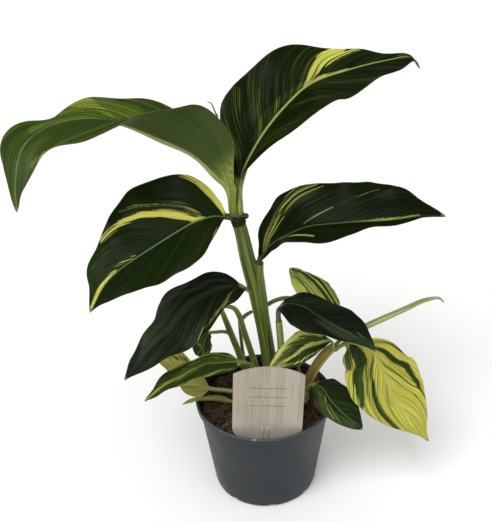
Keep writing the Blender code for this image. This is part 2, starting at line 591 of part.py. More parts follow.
def hole_cutter(name, rows, margin):
    """Plain round hole in the soil around a stem's foot."""
    foot = np.array(rows[0], float)
    upper = np.array(rows[1], float)
    rise = (upper - foot) / (upper[2] - foot[2])
    ends = [foot + rise * (z - foot[2]) for z in (HOLE_BOTTOM - 0.5, SOIL_LEVEL + 8)]
    rows = [(e[0], e[1], e[2], foot[3] + margin) for e in ends]
    return hide_cutter(tube(name, rows, 12, steps=1))


def make_ligule(material):
    """Dry brown collar round the top of the main stem."""
    rows = [(-16.3, 1, 255.4, 6.0), (-17.8, 1, 261.2, 6.2)]
    hole = tube("ligule_hole", [(-15.8, 1, 253.2, 5.9), (-18.3, 1, 263.2, 6.0)], 16, steps=2)
    collar = tube("ligule", rows, 14, material, steps=2, extra=0.75)
    add_boolean(collar, hide_cutter(hole))


def make_stems():
    """Main stem with the sheath of leaf D fused to it, and the side stems."""
    green = make_material("stem_green", (0.13, 0.19, 0.05), 0.45)
    pale = make_material("stem_pale", (0.30, 0.34, 0.12), 0.5)
    pink = make_material("shoot_pink", (0.42, 0.33, 0.16), 0.5)
    main = tube("main_stem", MAIN_STEM, 16, green, steps=22)
    add_boolean(main, hide_cutter(tube("sheath_shape", SHEATH, 12, green, steps=9)), "UNION")
    for name, rows in SIDE_STEMS.items():
        item = tube(name, rows, 10, pink if name == "shoot_pink" else pale)
        if name == "stem_middle":
            add_boolean(item, hide_cutter(tube("fork_shape", MIDDLE_FORK, 8, pale, steps=4)), "UNION")
    make_ligule(make_material("ligule_dry", (0.06, 0.035, 0.02), 0.7))


def joint_cutters():
    """Slightly larger copies of the stems, which shape the seat of each stalk."""
    cutters = {"main_stem": [tube("seat_main", MAIN_STEM, 16, steps=22, extra=GAP),
                             tube("seat_sheath", SHEATH, 12, steps=9, extra=GAP)]}
    for name in ("stem_left", "stem_middle", "shoot_pink"):
        cutters[name] = [tube("seat_" + name, SIDE_STEMS[name], 10, extra=GAP)]
    for group in cutters.values():
        for cutter in group:
            hide_cutter(cutter)
    return cutters


def make_leaves(cutters):
    """All the leaves, each cut back to sit against the stem that carries it."""
    for name, leaf in LEAVES.items():
        item = make_leaf(name, leaf)
        for carrier in leaf["joins"]:
            for cutter in cutters.get(carrier, ()):
                add_boolean(item, cutter)


def soil_holes():
    """Cutters for what stands in the soil: stems, the stalks of three leaves and the tag."""
    holes = [hole_cutter("hole_main", MAIN_STEM, 0.5)]
    holes += [hole_cutter("hole_" + name, rows, 0.5) for name, rows in SIDE_STEMS.items()]
    for name in ("leaf_left_yellow", "leaf_low_small", "leaf_scale_left"):
        leaf = LEAVES[name]
        rows = [(*place, leaf["stalk_radius"]) for place in leaf["stalk"][:2]]
        holes.append(hole_cutter("hole_" + name, rows, 1.0))
    return holes + [tag_hole()]


def main():
    clear_scene()
    make_pot()
    make_soil(soil_holes())
    make_tag()
    make_stems()
    make_leaves(joint_cutters())


main()
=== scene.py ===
"""The looks of a potted variegated shell ginger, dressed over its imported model.

Lengths are in millimetres and are scaled to metres when a mesh is made. The origin is the
centre of the pot's underside, +Z is up, and the side of the plant that faces the camera is -Y.
"""
import json
import math

import bpy
import numpy as np
from mathutils import Matrix, Vector
from mathutils.kdtree import KDTree


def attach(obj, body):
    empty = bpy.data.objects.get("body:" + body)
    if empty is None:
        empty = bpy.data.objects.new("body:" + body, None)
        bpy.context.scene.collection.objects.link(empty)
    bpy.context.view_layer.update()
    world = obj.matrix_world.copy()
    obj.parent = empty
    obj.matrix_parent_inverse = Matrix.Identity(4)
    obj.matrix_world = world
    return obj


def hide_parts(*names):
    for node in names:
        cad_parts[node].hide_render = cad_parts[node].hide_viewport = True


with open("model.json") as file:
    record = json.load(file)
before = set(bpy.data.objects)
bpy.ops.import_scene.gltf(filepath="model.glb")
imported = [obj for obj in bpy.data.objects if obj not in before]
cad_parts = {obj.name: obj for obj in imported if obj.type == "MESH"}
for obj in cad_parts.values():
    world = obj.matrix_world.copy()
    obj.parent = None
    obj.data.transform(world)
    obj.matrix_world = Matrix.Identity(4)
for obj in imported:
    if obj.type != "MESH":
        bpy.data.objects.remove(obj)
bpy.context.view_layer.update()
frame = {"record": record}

MM = 0.001
FULL_TURN = 2 * math.pi

# Camera, from the pot's rim and foot in the photograph
CAMERA_PLACE = (0.0, -650.0, 605.0)
CAMERA_PITCH = 30.3
CAMERA_YAW = -1.1
CAMERA_ROLL = -1.6
PHOTO_WIDTH = 492
FOCAL_PIXELS = 940
SENSOR = 36.0

# Surroundings
WORLD_LIGHT = 0.62
WORLD_MIRRORED = 0.14
FLOOR_REACH = 9000
FLOOR_COLOUR = (0.94, 0.94, 0.93, 1.0)
# Strength, spread in degrees and the direction that the light comes from
SUNS = {"key": (1.9, 36, (-0.45, -0.75, 1.25)), "fill": (0.3, 60, (1.0, -0.7, 0.8))}

# Pot
POT_HEIGHT = 90.0
RIM_RADIUS = 60.0
LIP_HEIGHT = 6.5
LIP_INSET = 1.2           # from the rim's edge to the middle of its lower corner
LIP_CORNER = 0.5
LIP_ROLL = 1.1
SHOULDER = POT_HEIGHT - LIP_HEIGHT
BODY_TOP_RADIUS = 56.8
BASE_RADIUS = 44.8
BODY_SLOPE = (BODY_TOP_RADIUS - BASE_RADIUS) / SHOULDER
FOOT_ROUND = 3.0
WALL = 1.4
POT_SIDES = 144
DRAIN_SLOTS = 8
DRAIN_TURN = -83.0
DRAIN_WIDTH = 6.5
DRAIN_HEIGHT = 3.2
DRAIN_DEPTH = 4.0
GLINT_START, GLINT_FULL = 87.8, 89.4      # heights between which the painted highlight and glints on the lip's edge come in
LIP_SHADOW_LINE = 81.0                          # height of the painted shadow line below the lip

# Soil
SOIL_LEVEL = 80.0
SOIL_FLOOR = 3.0
SOIL_CLEAR = 0.8
SOIL_RINGS, SOIL_SIDES = 52, 200
SOIL_LUMPS = ((1.6, 26, 11), (0.8, 9, 12), (0.35, 3.2, 13))     # height, length and seed
SOIL_SINK = 0.6           # takes off the mean height of the clods
FRONT_DIP = 2.2           # how much lower the soil is behind the front of the rim
DIP_START, DIP_FULL = 40.0, 47.0
CRUMBS = (1500, (0.5, 1.3), (1.0, 0.9, 0.8), 21)                # count, sizes, stretch and seed
BARK_BITS = (260, (1.0, 2.2), (1.7, 0.7, 0.35), 22)
SCATTER_RADIUS = 53.0
CRUMB_CORNER, CRUMB_MIDDLE = 0.72, 1.3    # places of a lump's corners and face centres
CRUMB_ROUGH = 0.22                        # how far they are pushed about
CRUMB_RISE = 0.25                         # height of a lump's middle above the soil, for its size

# Plant tag
TAG_WIDTH = 58.0
TAG_SHOULDER = 146.6
TAG_TOP = 154.5
TAG_BOTTOM = 79.2
TAG_TILT = 2.5
TAG_CORNER = 12.5
TAG_THICK = 0.9
TAG_X = 1.6
TAG_Y = -46.5
STAKE_WIDTH = 13.0
STAKE_TIP = 58.0
RIDGE_PLACES = (-3.8, 0.4)
RIDGE_ROWS = ((80.5, 0.6), (82.5, 1.0), (91.0, 1.0), (92.5, 0.5))
FOOT_LIGHT_START, FOOT_LIGHT_FULL = 110.0, 84.0       # heights between which painted light pales the tag towards its foot
PLANK_WIDTH = 6.2
LINES_MIDDLE = 124.0
LINE_GAP = 9.0
LINE_HALF = 15.0

# Blades
TIP = 0.6                 # half width at the tip
BLADE_MIDDLE = 0.6        # thickness beside the rib
BLADE_EDGE = 0.28         # thickness at the margin
KEEL_DEPTH = 1.5
KEEL_WIDTH = 2.2
GROOVE_DEPTH = 0.5
GROOVE_WIDTH = 1.0
CREASE_ROUND = 3
PLEAT_HEIGHT, PLEAT_STEP = 0.30, 9.0
SWELL_HEIGHT, SWELL_LENGTH = 0.9, 46
RIPPLE_HEIGHT, RIPPLE_LENGTH = 0.35, 24
STALK_STEP = 1.2
STALK_ACROSS = 1.3
STALK_TOP = 0.95          # height of a stalk's upper half, as a share of its radius
STALK_OPEN = 0.5          # what its middle loses towards the blade
STALK_CUP = 0.25          # how far its sides then rise
STALK_BLEND = 12          # the stalk turns into the blade over one part in this of the blade's length
COLUMN_POWER = 1.25       # above 1, the columns stand closer beside the rib
LEAF_SEED, HALF_SEED = 7.3, 3.7
VEIN_BEND = 1.15
FOOT_SWEEP = 0.05         # extra run of a vein close to the rib
FOOT_SHARE = 0.06
STRIPE_SOFT = 2.6         # width over which the edge of a stripe fades
CURVE_STEPS = 30
STATIONS = (0.0, 0.08, 0.2, 0.35, 0.5, 0.65, 0.8, 0.92, 1.0)
BIG, MEDIUM, SMALL = (180, 60), (120, 44), (84, 32)     # steps along the rib and across the blade

# Each stem is a row of places with a radius at each: x, y, z, radius.
MAIN_STEM = (
    (7.5, 9, 67, 6.0), (6.5, 8, 85, 6.2), (5, 6, 119, 6.2), (0.5, 4, 159, 6.2), (-5, 2.5, 195, 6.6),
    (-11.5, 1.5, 227, 6.1), (-15.6, 1, 251, 5.4), (-18.4, 1, 262.5, 5.3),
)
# The sheath of the right middle leaf lies along the main stem and ends below its stalk.
SHEATH = ((2.5, 3, 152, 4.0), (0, 2.5, 176, 5.0), (-2.5, 2, 200, 5.2), (-3.2, 1.2, 214, 4.6),
          (-2.4, 0.5, 223, 4.0))
SIDE_STEMS = {
    "stem_left": ((-12, 26, 67, 3.0), (-13, 25.5, 82, 3.0), (-22, 20, 122, 2.9), (-27, 16, 142, 2.8),
                  (-32, 11, 163, 2.4), (-34.5, 9, 173, 1.9)),
    "stem_middle": ((-2.5, 19.5, 67, 3.0), (-3, 18, 82, 3.0), (-7, 13.5, 110, 2.9), (-10, 11, 125, 2.7),
                    (-16, 7, 152, 2.6), (-20, 4, 171, 2.3), (-24, 2, 179, 1.9), (-31, 0, 182.5, 1.6)),
    "stem_thin": ((-15, 36, 67, 1.7), (-15.5, 34, 82, 1.7), (-18, 26, 115, 1.6), (-19.5, 20, 143, 1.5),
                  (-20, 15.5, 158, 1.2)),
    "stem_right": ((17, 11, 67, 3.0), (17, 10, 82, 3.0), (16, 5, 101, 3.0), (15, -2, 142, 3.0),
                   (13.2, -8, 172, 2.8)),
    "shoot_pink": ((32, 8, 67, 4.4), (34.5, 6, 82, 4.4), (39, 2, 103, 4.3), (45, 0, 120, 4.3),
                   (53, 0, 133, 4.3), (60, 0, 140.5, 3.6)),
}
# Ridges round a stem: height as a share of its radius, count, and lean along it
MAIN_RIDGES = ((0.012, 9, 0.01), (0.008, 17, -0.02))
SIDE_RIDGES = ((0.012, 7, 0.0),)
FOLD_WIDTH, FOLD_DEPTH = 0.10, 0.05       # of a sheath's edge, in radians and as a share of the radius
MIDDLE_FORK = ((-19, 5, 164, 1.8), (-14.5, 8, 167.5, 1.7), (-9, 12.5, 168.5, 1.4))
STEM_FADE, STEM_FOOT = 115, 85            # heights between which a stem takes on the colour of its foot
# Pale node and brown scar on the main stem: place, reach and colour.
STEM_SPOTS = (((0.0, -3.0, 229.5), 4.0, "#a89a62"), ((-4.2, -4.5, 229.6), 1.9, "#5a3a1c"))

# Small dry parts, in the same form as the stems
FLAKE_TURN, FLAKE_FLAT = 0.5, 0.22
DRY_TIP = ((-30.2, -2.6, 349.3, 0.7), (-31.9, -2.6, 353.0, 0.6), (-33.5, -2.4, 357.3, 0.5),
           (-34.9, -2.2, 359.9, 0.42), (-37.9, -2.0, 361.0, 0.2))
DRY_FLAKE = ((33.9, 0.6, 93.5, 1.6), (32, 2.4, 101, 3.0), (30.6, 3.4, 109, 2.6), (30, 4.6, 117, 0.6))
DRY_ROOT = ((38, 3.4, 84, 1.6), (42.6, 3.2, 95, 3.0), (45.4, 3.6, 102, 2.4), (46.6, 5, 107.5, 0.5))
PALE_STUB = ((36.6, 2.2, 79, 3.0), (36.2, 1.6, 86, 3.1), (35.6, 1, 92.5, 2.5), (35.4, 0.8, 97.5, 0.9))
STALK_SEAM = ((-18.6, -1.2, 262, 0.4), (-18.8, -0.8, 270, 0.45), (-18.9, -0.2, 280, 0.4),
              (-18.7, 0.8, 289, 0.25))

# Ligule, and the edge of a stalk clasped round the stem just below its top
LIGULE_FOOT = (-17.1, 1.0, 258.6)
LIGULE_TOP = (-18.9, 1.0, 266.0)
LIGULE_RADIUS = 5.7
LIGULE_THICK = 0.6
LIGULE_FLARE = 0.35
LIGULE_TEETH = ((0.10, 3, 1), (0.07, 11, 0), (0.04, 23, 0))     # waves of its top
LIGULE_FOLDS = ((0.15, 7, 2), (0.08, 19, 0))                    # waves of its side
LIGULE_SIDES, LIGULE_LEVELS = 96, 12
CLASP_MIDDLE = (-18.7, 1.0, 265.3)
CLASP_RADIUS = 6.1
CLASP_RISE = 3.2
CLASP_THICK = 0.85
CLASP_START, CLASP_SWEEP, CLASP_STEPS = 175, 200, 14
CURL_REACH = 1.45
CURL_THICK = 1.3
CURL_START, CURL_TURN, CURL_STEPS = 200, 40, 12
CURL_SHIFT = 1.2
# What a step of the curl takes off its reach, its y and its thickness
CURL_CLOSE, CURL_BACK, CURL_THIN = 0.05, 0.1, 0.02

# Each leaf: the radii of its stalk at foot and blade, the places (x, y, z) of its stalk and rib, and
# in pairs, for its left and its right half seen from above looking from base to tip: the half widths,
# the angles at which the half rises from the rib, how far it is swept towards the tip, and the waves
# of its margin as (count, height, phase). The twist turns both halves about the rib. Nine values
# stand at STATIONS, and any other number is spread evenly.
# Then what it shows: its dark green, paler green and yellow, the colour and half width of the rib's
# line, and the two colours of the lower face and of the stalk. ground is 1 where the blade is yellow
# with green stripes. streaks, keel and thin are the strengths of the fine threads, of the pale keel
# below and of the yellow in the threads. fade is the share over which the blade takes on the stalk's
# colour, and vein_run the share that a vein runs before it meets the margin. With a slant the veins
# run straight instead. A stripe is its strength, its half widths and its line, given along and across
# the blade. Strengths and lines are in hundredths, and a negative strength is a green stripe on
# yellow. A paler area, in the same form, is paler green; on some leaves, such as the low left one,
# it is a painted sheen along the pleats.
PLAIN_LEAF = dict(
    size=MEDIUM, lift=((0, 0), (10, 10)), sweep=((0, 0), (0, 0)), twist=(0, 0), waves=((0, 0, 0), (0, 0, 0)),
    under=("#303f1a", "#475824"), stalk_colours=("#6a7a30", "#98a250"), ground=0, streaks=0.5, keel=0.6,
    thin=0.3, fade=0.05, gloss=0.13, vein_run=0.48, slant=None, pale_and_sheen_areas=())
LEAVES = {
    "leaf_top_left": dict(
        size=BIG, radii=(3.3, 4.2), stalk=((-19.8, 1.2, 259), (-21.2, 1.5, 267.4), (-22.2, 1.8, 279.7)),
        rib=((-27, 2, 291), (-36, 0, 302), (-51, -4, 319), (-74, -9, 335), (-99, -14, 350),
             (-123, -19, 357), (-152, -25, 353), (-170, -28, 339), (-179, -29, 313), (-182, -28, 287)),
        half=((8.5, 25, 38, 40, 40, 34, 22, 8, TIP),
              (6, 16, 18, 20, 28.5, 40, 39, 32.5, 29.5, 33, 32, 26.5, 19, 10, TIP)),
        lift=((60, 80, 84, 48, 7, -3, -13, 0, -5), (40, 62, 68, 21, 5, -12, 8, 0, 0)),
        twist=(0, 0, 0, 0, 0, 5, 15, 35, 50), waves=((3, 1.2, 0.2), (3.5, 3.2, 0.4)),
        colours=("#283b0e", "#506a18", "#a0aa3e"), rib_line=("#7c865a", 0.75),
        under=("#2f3d19", "#475824"), streaks=1, keel=1, thin=0.55, fade=0.11,
        pale_and_sheen_areas=((45, (6, 16, 22, 16, 6), ((36, 35), (42, 50), (50, 60), (60, 50), (70, 30))),
               (25, (3, 9, 8, 3), ((66, -55), (76, -50), (86, -30), (96, 0)))),
        stripes=((30, (1.5, 5, 7), ((44, 10), (50, 50), (55, 98))),
                 (42, (0.3, 0.7, 0.7), ((50, 10), (56, 50), (62, 95))),
                 (42, (0.3, 0.7, 0.6), ((44, 10), (50, 50), (56, 95))),
                 (34, (0.8, 2, 1), ((66, -98), (70, -90), (78, -85))),
                 (42, (0.3, 0.6, 0.6), ((72, 0), (82, 2), (97, 0))))),
    "leaf_top_right": dict(
        size=BIG, radii=(3.2, 3.6), stalk=((-16.4, 1.6, 259), (-16.6, 2.4, 266.9), (-16.6, 3.2, 278.8)),
        rib=((-15, 6, 290), (-11, 11, 303), (4, 25, 325), (24, 42, 343), (41, 54, 353), (72, 68, 359),
             (104, 78, 363), (122, 80, 364), (130, 80, 355)),
        half=((6, 14, 28, 39, 41, 40.5, 40, 39, 36, 27.5, 19, 15.5, 12, 4.5, TIP),
              (6, 22.5, 32.5, 38, 42, 46.5, 49, 47, 42.5, 37.5, 32, 25.5, 18.5, 11, TIP)),
        lift=((60, 58, 53, 46, 38, 28, 20, 10, 0), (40, 25, 18, 8, 3, 0, -5, -10, -10)),
        waves=((4, 2.6, 0.35), (3, 1.2, 0)), colours=("#0e1903", "#24380b", "#bcbc54"),
        rib_line=("#94a05c", 1.5), streaks=0.9, keel=0.5, thin=0.45, fade=0.035, gloss=0.08, vein_run=0.21,
        pale_and_sheen_areas=((30, (3, 6, 8), ((10, -40), (20, -75), (26, -90))),
               (50, (2, 4, 3, 2), ((18, -8), (28, -14), (38, -12), (48, -5))),
               (30, (2, 4, 4), ((24, -30), (32, -60), (36, -90))),
               (90, (3, 4), ((90, 0), (100, 0)))),
        stripes=((74, (0.6, 2, 4, 6), ((48, -2), (53, -20), (60, -52), (68, -98))),
                 (85, (0.4, 0.9, 1), ((47, -2), (52, -16), (58.5, -45))),
                 (70, (0.4, 0.9, 1.1, 1.1), ((50, -4), (58, -27), (67, -62), (75, -98))),
                 (80, (0.3, 0.9, 0.4), ((46, 0), (55, -3), (68, -2))),
                 (42, (0.5, 0.8), ((20, -80), (26, -98))))),
    "leaf_mid_left": dict(
        size=BIG, radii=(2.4, 2.4), stalk=((-19.5, 0, 263.5), (-23.5, -2, 265.5)),
        rib=((-28, -4, 267.3), (-37, -7, 269.5), (-51.5, -12.5, 267.5), (-66, -19, 262), (-80, -26, 256),
             (-93, -34, 251), (-105, -42, 246), (-114, -49, 241), (-121, -55, 234), (-130, -60, 218)),
        half=((3.5, 23, 35.5, 41.5, 37.5, 35, 24.5, 8, TIP), (3.5, 16, 37.5, 48, 44, 31.5, 20, 9, TIP)),
        lift=((20, 5, 0, -5, -8, -8, -5, -5, 0), (50, 45, 42, 40, 38, 32, 20, 10, 0)),
        sweep=((0, 0), (-0.3, -0.5, -0.3, 0, 0, 0, 0, 0, 0)), waves=((3, 1, 0.1), (5, 2.2, 0.3)),
        colours=("#121e06", "#26380f", "#c8c458"), rib_line=("#65734a", 0.8),
        stalk_colours=("#2c3a18", "#5e6e40"), streaks=0.25, thin=0, fade=0.02, gloss=0.08,
        pale_and_sheen_areas=((50, (5, 9), ((70, 75), (85, 60))), (50, (3, 5), ((60, 8), (74, 10)))),
        stripes=((85, (0.7, 1.5, 2.1, 2.4, 2.4, 2, 1.4),
                  ((13, 2), (19, 6), (25, 21), (32, 40), (40, 54), (51, 68), (66, 92))),
                 (28, (1.2, 3.6, 4, 2.4), ((15, 12), (26, 44), (40, 70), (56, 92))),
                 (60, (0.3, 0.6, 0.5), ((17, 20), (28, 52), (50, 88))),
                 (100, (1.6, 2.6, 2.8, 1.6, 0.5), ((0, 80), (5, 88), (11, 94), (16, 97), (21, 99))),
                 (80, (0.7, 1.6, 1.6), ((72, 3), (83, 7), (97, 5))),
                 (50, (0.4, 0.9), ((58, 4), (71, 13))),
                 (40, (0.5, 0.7), ((10, -92), (15, -94))))),
    "leaf_mid_right": dict(
        size=BIG, radii=(2.6, 2.6), stalk=((-3, 0.6, 220.5), (-2.2, 0.2, 224)),
        rib=((-1, -0.8, 228), (3.2, -3, 235), (8, -5, 243), (16, -9, 251), (28, -14, 260), (37, -17, 265),
             (49, -20, 268), (67, -23, 271), (86, -26, 273), (100, -28, 275), (121, -30, 279),
             (137, -31, 279)),
        half=((3, 13, 23.5, 31, 32.5, 34.5, 35.5, 33, 32.5, 35, 33, 29, 26, 17, TIP),
              (4, 5.5, 8.5, 11.5, 18.5, 25.5, 29, 28.5, 24.5, 18.5, 15.5, 12, 7.5, 4, TIP)),
        lift=((55, 55, 50, 45, 40, 35, 25, 10, 0), (-25, -15, 0, 0, 2, 8, 10, 5, 0)),
        waves=((4, 2.6, 0.1), (3, 1.2, 0.4)), colours=("#0c1503", "#1f300c", "#a8ae58"),
        rib_line=("#4c5a36", 0.6), stalk_colours=("#27341a", "#55643a"), streaks=0.25, thin=0, fade=0.008,
        gloss=0.07,
        # Painted soft sheen over the thin pale lines of the far half
        pale_and_sheen_areas=((60, (3, 5, 6), ((6, -10), (20, -50), (36, -85))),),
        stripes=((62, (0.4, 0.6, 0.6, 0.4), ((6, -6), (14, -34), (24, -66), (39, -98))),
                 (55, (0.3, 0.5, 0.5, 0.3), ((4, -10), (10, -36), (20, -68), (33, -98))),
                 (50, (0.3, 0.5, 0.4, 0.3), ((9, -8), (17, -30), (27, -60), (42, -92))),
                 (60, (0.3, 0.55, 0.3), ((33, -9), (40, -24), (47, -38))),
                 (45, (0.3, 0.5, 0.3), ((52, -50), (60, -65), (69, -80))),
                 (50, (0.4, 0.7, 0.3), ((18, 20), (29, 45), (40, 62))),
                 (80, (0.3, 0.6, 0.9, 0.7, 0.3), ((48, 3), (60, 2), (70, -2), (80, -3), (88, -4))))),
    "leaf_low_left": dict(
        size=BIG, radii=(2, 2), stalk=((-6.7, 1, 193), (-12.2, -4, 201)),
        rib=((-17, -7, 205), (-22, -9, 207), (-34, -13, 207), (-42, -17, 205), (-53, -24, 202),
             (-67, -33, 191), (-73, -38, 185), (-86, -48, 178), (-94, -54, 172), (-109, -64, 157)),
        half=((4, 17, 18.5, 27.5, 26.5, 21.5, 15, 6.5, TIP), (5, 17, 20.5, 27, 26, 16, 12.5, 5.5, TIP)),
        lift=((20, 0, -10, -15, -15, -15, -10, -5, 0), (20, 15, 15, 10, 10, 10, 10, 5, 0)),
        sweep=((-0.5, -0.2, -0.1, 0, 0, 0, 0, 0, 0), (0, 0)), waves=((3, 1, 0.2), (4, 2, 0.57)),
        colours=("#131b0c", "#3c4630", "#9ca24a"), rib_line=("#2c3820", 0.6), under=("#2a381a", "#3e4c24"),
        stalk_colours=("#4c5a26", "#8c965a"), streaks=0.2, thin=0, fade=0.02, gloss=0.1,
        # Painted sheen along two long pleats and over the far side
        pale_and_sheen_areas=((60, (1, 2.5, 2.5, 1), ((6, 8), (35, 12), (61, 20), (85, 12))),
               (55, (1, 2.5, 2.5, 1), ((8, 45), (35, 50), (61, 50), (80, 35))),
               (80, (3, 6, 7, 3), ((30, 85), (45, 80), (60, 75), (75, 60)))),
        stripes=((62, (0.5, 1, 1, 0.7), ((6, -30), (14, -66), (33, -86), (55, -98))),
                 (45, (0.3, 0.6, 0.3), ((8, -16), (18, -50), (36, -74))))),
    "leaf_low_right": dict(
        radii=(2.2, 2.2), stalk=((13.1, -8.1, 172.4), (13, -11, 185)),
        rib=((15.5, -15, 192.5), (20, -19.5, 197), (33, -27, 198), (44, -33, 193), (54, -38, 189),
             (63, -43, 186), (83, -52, 178), (88, -54, 173)),
        half=((3.5, 6.5, 16, 20, 21.5, 22, 17, 5.5, TIP), (4, 11.5, 20, 20.5, 15.5, 12, 6, 3, TIP)),
        lift=((20, 15, 10, 10, 10, 10, 5, 5, 0), (10, 0, -10, -15, -15, -15, -10, -5, 0)),
        waves=((2, 1, 0.2), (2, 0.8, 0)), colours=("#0d140a", "#28371d", "#7c8e4c"),
        rib_line=("#31422a", 0.6), under=("#2a381a", "#3e4c24"), stalk_colours=("#38471f", "#66764a"),
        streaks=0.25, thin=0, fade=0.03, gloss=0.12,
        pale_and_sheen_areas=((90, (1.5, 4.5, 4), ((42, 25), (68, 35), (96, 10))),),
        stripes=((46, (0.3, 0.6, 0.4), ((44, 3), (62, 2), (80, 8))),
                 (42, (0.3, 0.4), ((76, -27), (96, 5))))),
    "leaf_back_yellow": dict(
        radii=(1.8, 1.8),
        stalk=((-2, 5, 175.5), (3.8, 9, 177), (11.4, 13, 179), (21.5, 16, 179), (38.4, 18, 172),
               (54, 21, 159), (61.5, 23, 153)),
        rib=((64, 27, 154), (57, 33, 163), (47, 39, 174), (36, 43, 184), (24, 46, 190)),
        half=((2, 16, 28, 35, 37, 35, 28, 18, 4), (2, 10, 14, 15, 13, 10, 7, 4, 1)),
        lift=((10, 10), (10, 10)),
        waves=((2, 0.8, 0), (2, 0.8, 0.3)), colours=("#23360f", "#536a24", "#c4ca60"),
        rib_line=("#a2a85c", 0.4), under=("#7a8430", "#9aa046"), stalk_colours=("#3a4a22", "#5c6c3a"),
        ground=1, streaks=0.9, slant=0.12,
        stripes=((-100, (1, 1.9, 1.7), ((95, 40), (60, 28), (10, 15))),
                 (-100, (0.6, 1.6, 1.4), ((75, 85), (50, 72), (10, 55))),
                 (-80, (0.4, 0.9), ((45, 95), (10, 85))),
                 (-75, (0.4, 0.9, 0.5), ((92, 5), (60, -6), (20, -14))),
                 (-85, (0.5, 1, 0.7), ((96, -15), (70, -25), (30, -33))),
                 (-100, (0.5, 1.2, 1), ((93, -50), (60, -48), (20, -50))),
                 (-90, (0.6, 1.1, 0.9), ((80, -80), (50, -70), (20, -68))))),
    "leaf_right_yellow": dict(
        radii=(2, 2), stalk=((60.5, -2, 137.5), (64.5, -3, 142)),
        rib=((69, -4, 145.5), (77, -6.5, 146.5), (86, -9, 144), (95, -13, 138), (99, -17, 127),
             (104, -20, 115), (111, -24, 100), (125, -28, 83), (140, -32, 62)),
        half=((2.5, 5, 14, 27.5, 28.5, 26.5, 14.5, 4.5, TIP), (2, 10.5, 25.5, 33, 30.5, 21, 13, 4, TIP)),
        lift=((15, 10, 10, 5, 0), (-35, -20, 0, 5, 0)),
        sweep=((0, 0), (-0.3, -0.78, -0.32, 0.12, 0.05, 0, 0, 0, 0)), twist=(-20, -35, -45, -50, -50),
        waves=((3, 1, 0.1), (3, 1, 0.3)), colours=("#1f310f", "#47601f", "#c2bc50"),
        rib_line=("#a8ad6c", 0.6), under=("#8c8e3c", "#9e9e46"), ground=1, streaks=1.35,
        stripes=((-95, (2, 4.2, 4, 2.2), ((5, 14), (16, 40), (32, 68), (50, 93))),
                 (-80, (0.6, 1.8, 2.4, 2.8, 2), ((22, 10), (35, 32), (47, 47), (60, 64), (77, 97))),
                 (-75, (0.5, 1.2, 1.4, 0.8), ((12, 10), (26, 36), (42, 58), (62, 90))),
                 (-95, (0.8, 2.2, 2.6, 2, 0.8), ((17, -12), (27, -42), (40, -70), (56, -84), (72, -95))),
                 (-70, (0.6, 1.1), ((16, -50), (28, -96))),
                 (-75, (1, 2.2, 1.8, 0.8), ((5, 45), (12, 70), (20, 86), (28, 97))),
                 (-65, (0.3, 1.1, 0.3), ((52, 4), (59, 16), (67, 30))),
                 (-60, (0.3, 0.7, 0.3), ((66, 30), (76, 46), (86, 66))),
                 (-55, (0.3, 0.8, 0.3), ((42, -35), (57, -60), (79, -90))),
                 (-55, (0.3, 0.6, 0.3), ((30, -10), (45, -38), (66, -66))),
                 (-50, (0.8, 0.8), ((28, 97), (42, 97))))),
    "leaf_centre_striped": dict(
        radii=(1.4, 1.4), stalk=((57.5, -2.5, 137), (58.5, -6.5, 147)),
        rib=((56, -9.5, 153), (49, -13, 153), (34, -18, 151), (22, -23, 147), (12, -27, 144),
             (5, -30, 141)),
        half=((2, 4, 7, 12, 15, 16, 10, 5, TIP), (2, 12, 18, 21, 18, 14, 11, 6, TIP)),
        waves=((2, 0.6, 0.1), (2, 0.6, 0)), colours=("#22340f", "#4c6424", "#c2c26a"),
        rib_line=("#a2aa6c", 0.7), under=("#4c6026", "#6c7838"), thin=0.5,
        pale_and_sheen_areas=((60, (3, 5, 3), ((10, 40), (50, 60), (90, 30))),),
        stripes=((95, (1, 2.4, 3, 2.6), ((97, 50), (66, 86), (34, 88), (8, 75))),
                 (85, (0.7, 1.6, 1.6, 1), ((90, -45), (56, -7), (31, 12), (2, 10))),
                 (65, (0.5, 1, 1, 0.6), ((90, -70), (57, -80), (39, -78), (20, -90))),
                 (55, (0.3, 0.7, 0.6), ((90, 25), (62, 60), (30, 60))))),
    "leaf_front_striped": dict(
        radii=(2.2, 2.2), stalk=((-6.2, 13, 103), (-8, 6, 114), (-12.8, -3, 125.5)),
        rib=((-20, -10, 133), (-33, -16, 137), (-48, -23, 141), (-57, -27, 139), (-70, -32, 135),
             (-83, -37, 131), (-98, -43, 119)),
        half=((3, 10, 15, 17, 14, 11, 7, 4, TIP), (3, 11, 13, 11, 10, 10, 6, 3, TIP)),
        waves=((2, 0.6, 0.1), (2, 0.6, 0)), colours=("#2a3d12", "#587222", "#b4b450"),
        rib_line=("#929a5a", 0.7), under=("#5a6c29", "#768038"), thin=0.5,
        pale_and_sheen_areas=((60, (3, 5, 4), ((5, 30), (35, 15), (65, -10))),),
        stripes=((70, (0.8, 1.2, 1.2, 0.9), ((2, 80), (21, 90), (45, 92), (66, 95))),
                 (85, (0.4, 1.2, 1.8, 1.5, 0.8), ((46, 5), (58, -10), (72, -15), (86, -20), (98, -10))),
                 (60, (0.5, 0.9, 0.8), ((10, -93), (40, -95), (66, -95))),
                 (90, (1.6, 1.8), ((0, 50), (4, -90))),
                 (50, (0.4, 0.6), ((15, 50), (55, 50))))),
    "leaf_left_yellow": dict(
        radii=(2, 2), stalk=((-4.5, -3, 70), (-7, -2, 79), (-15, 1, 89), (-31.5, 2, 93)),
        rib=((-48, 1, 97), (-64, 1, 110), (-76, 0, 124), (-94, -3, 141)),
        half=((2.5, 14, 22, 26, 26, 22, 15, 8, TIP), (2.5, 8, 14, 18, 19, 16, 12, 6, TIP)),
        waves=((2, 0.8, 0), (2, 0.8, 0.2)), colours=("#4a4c14", "#7c7a2c", "#cfc85e"),
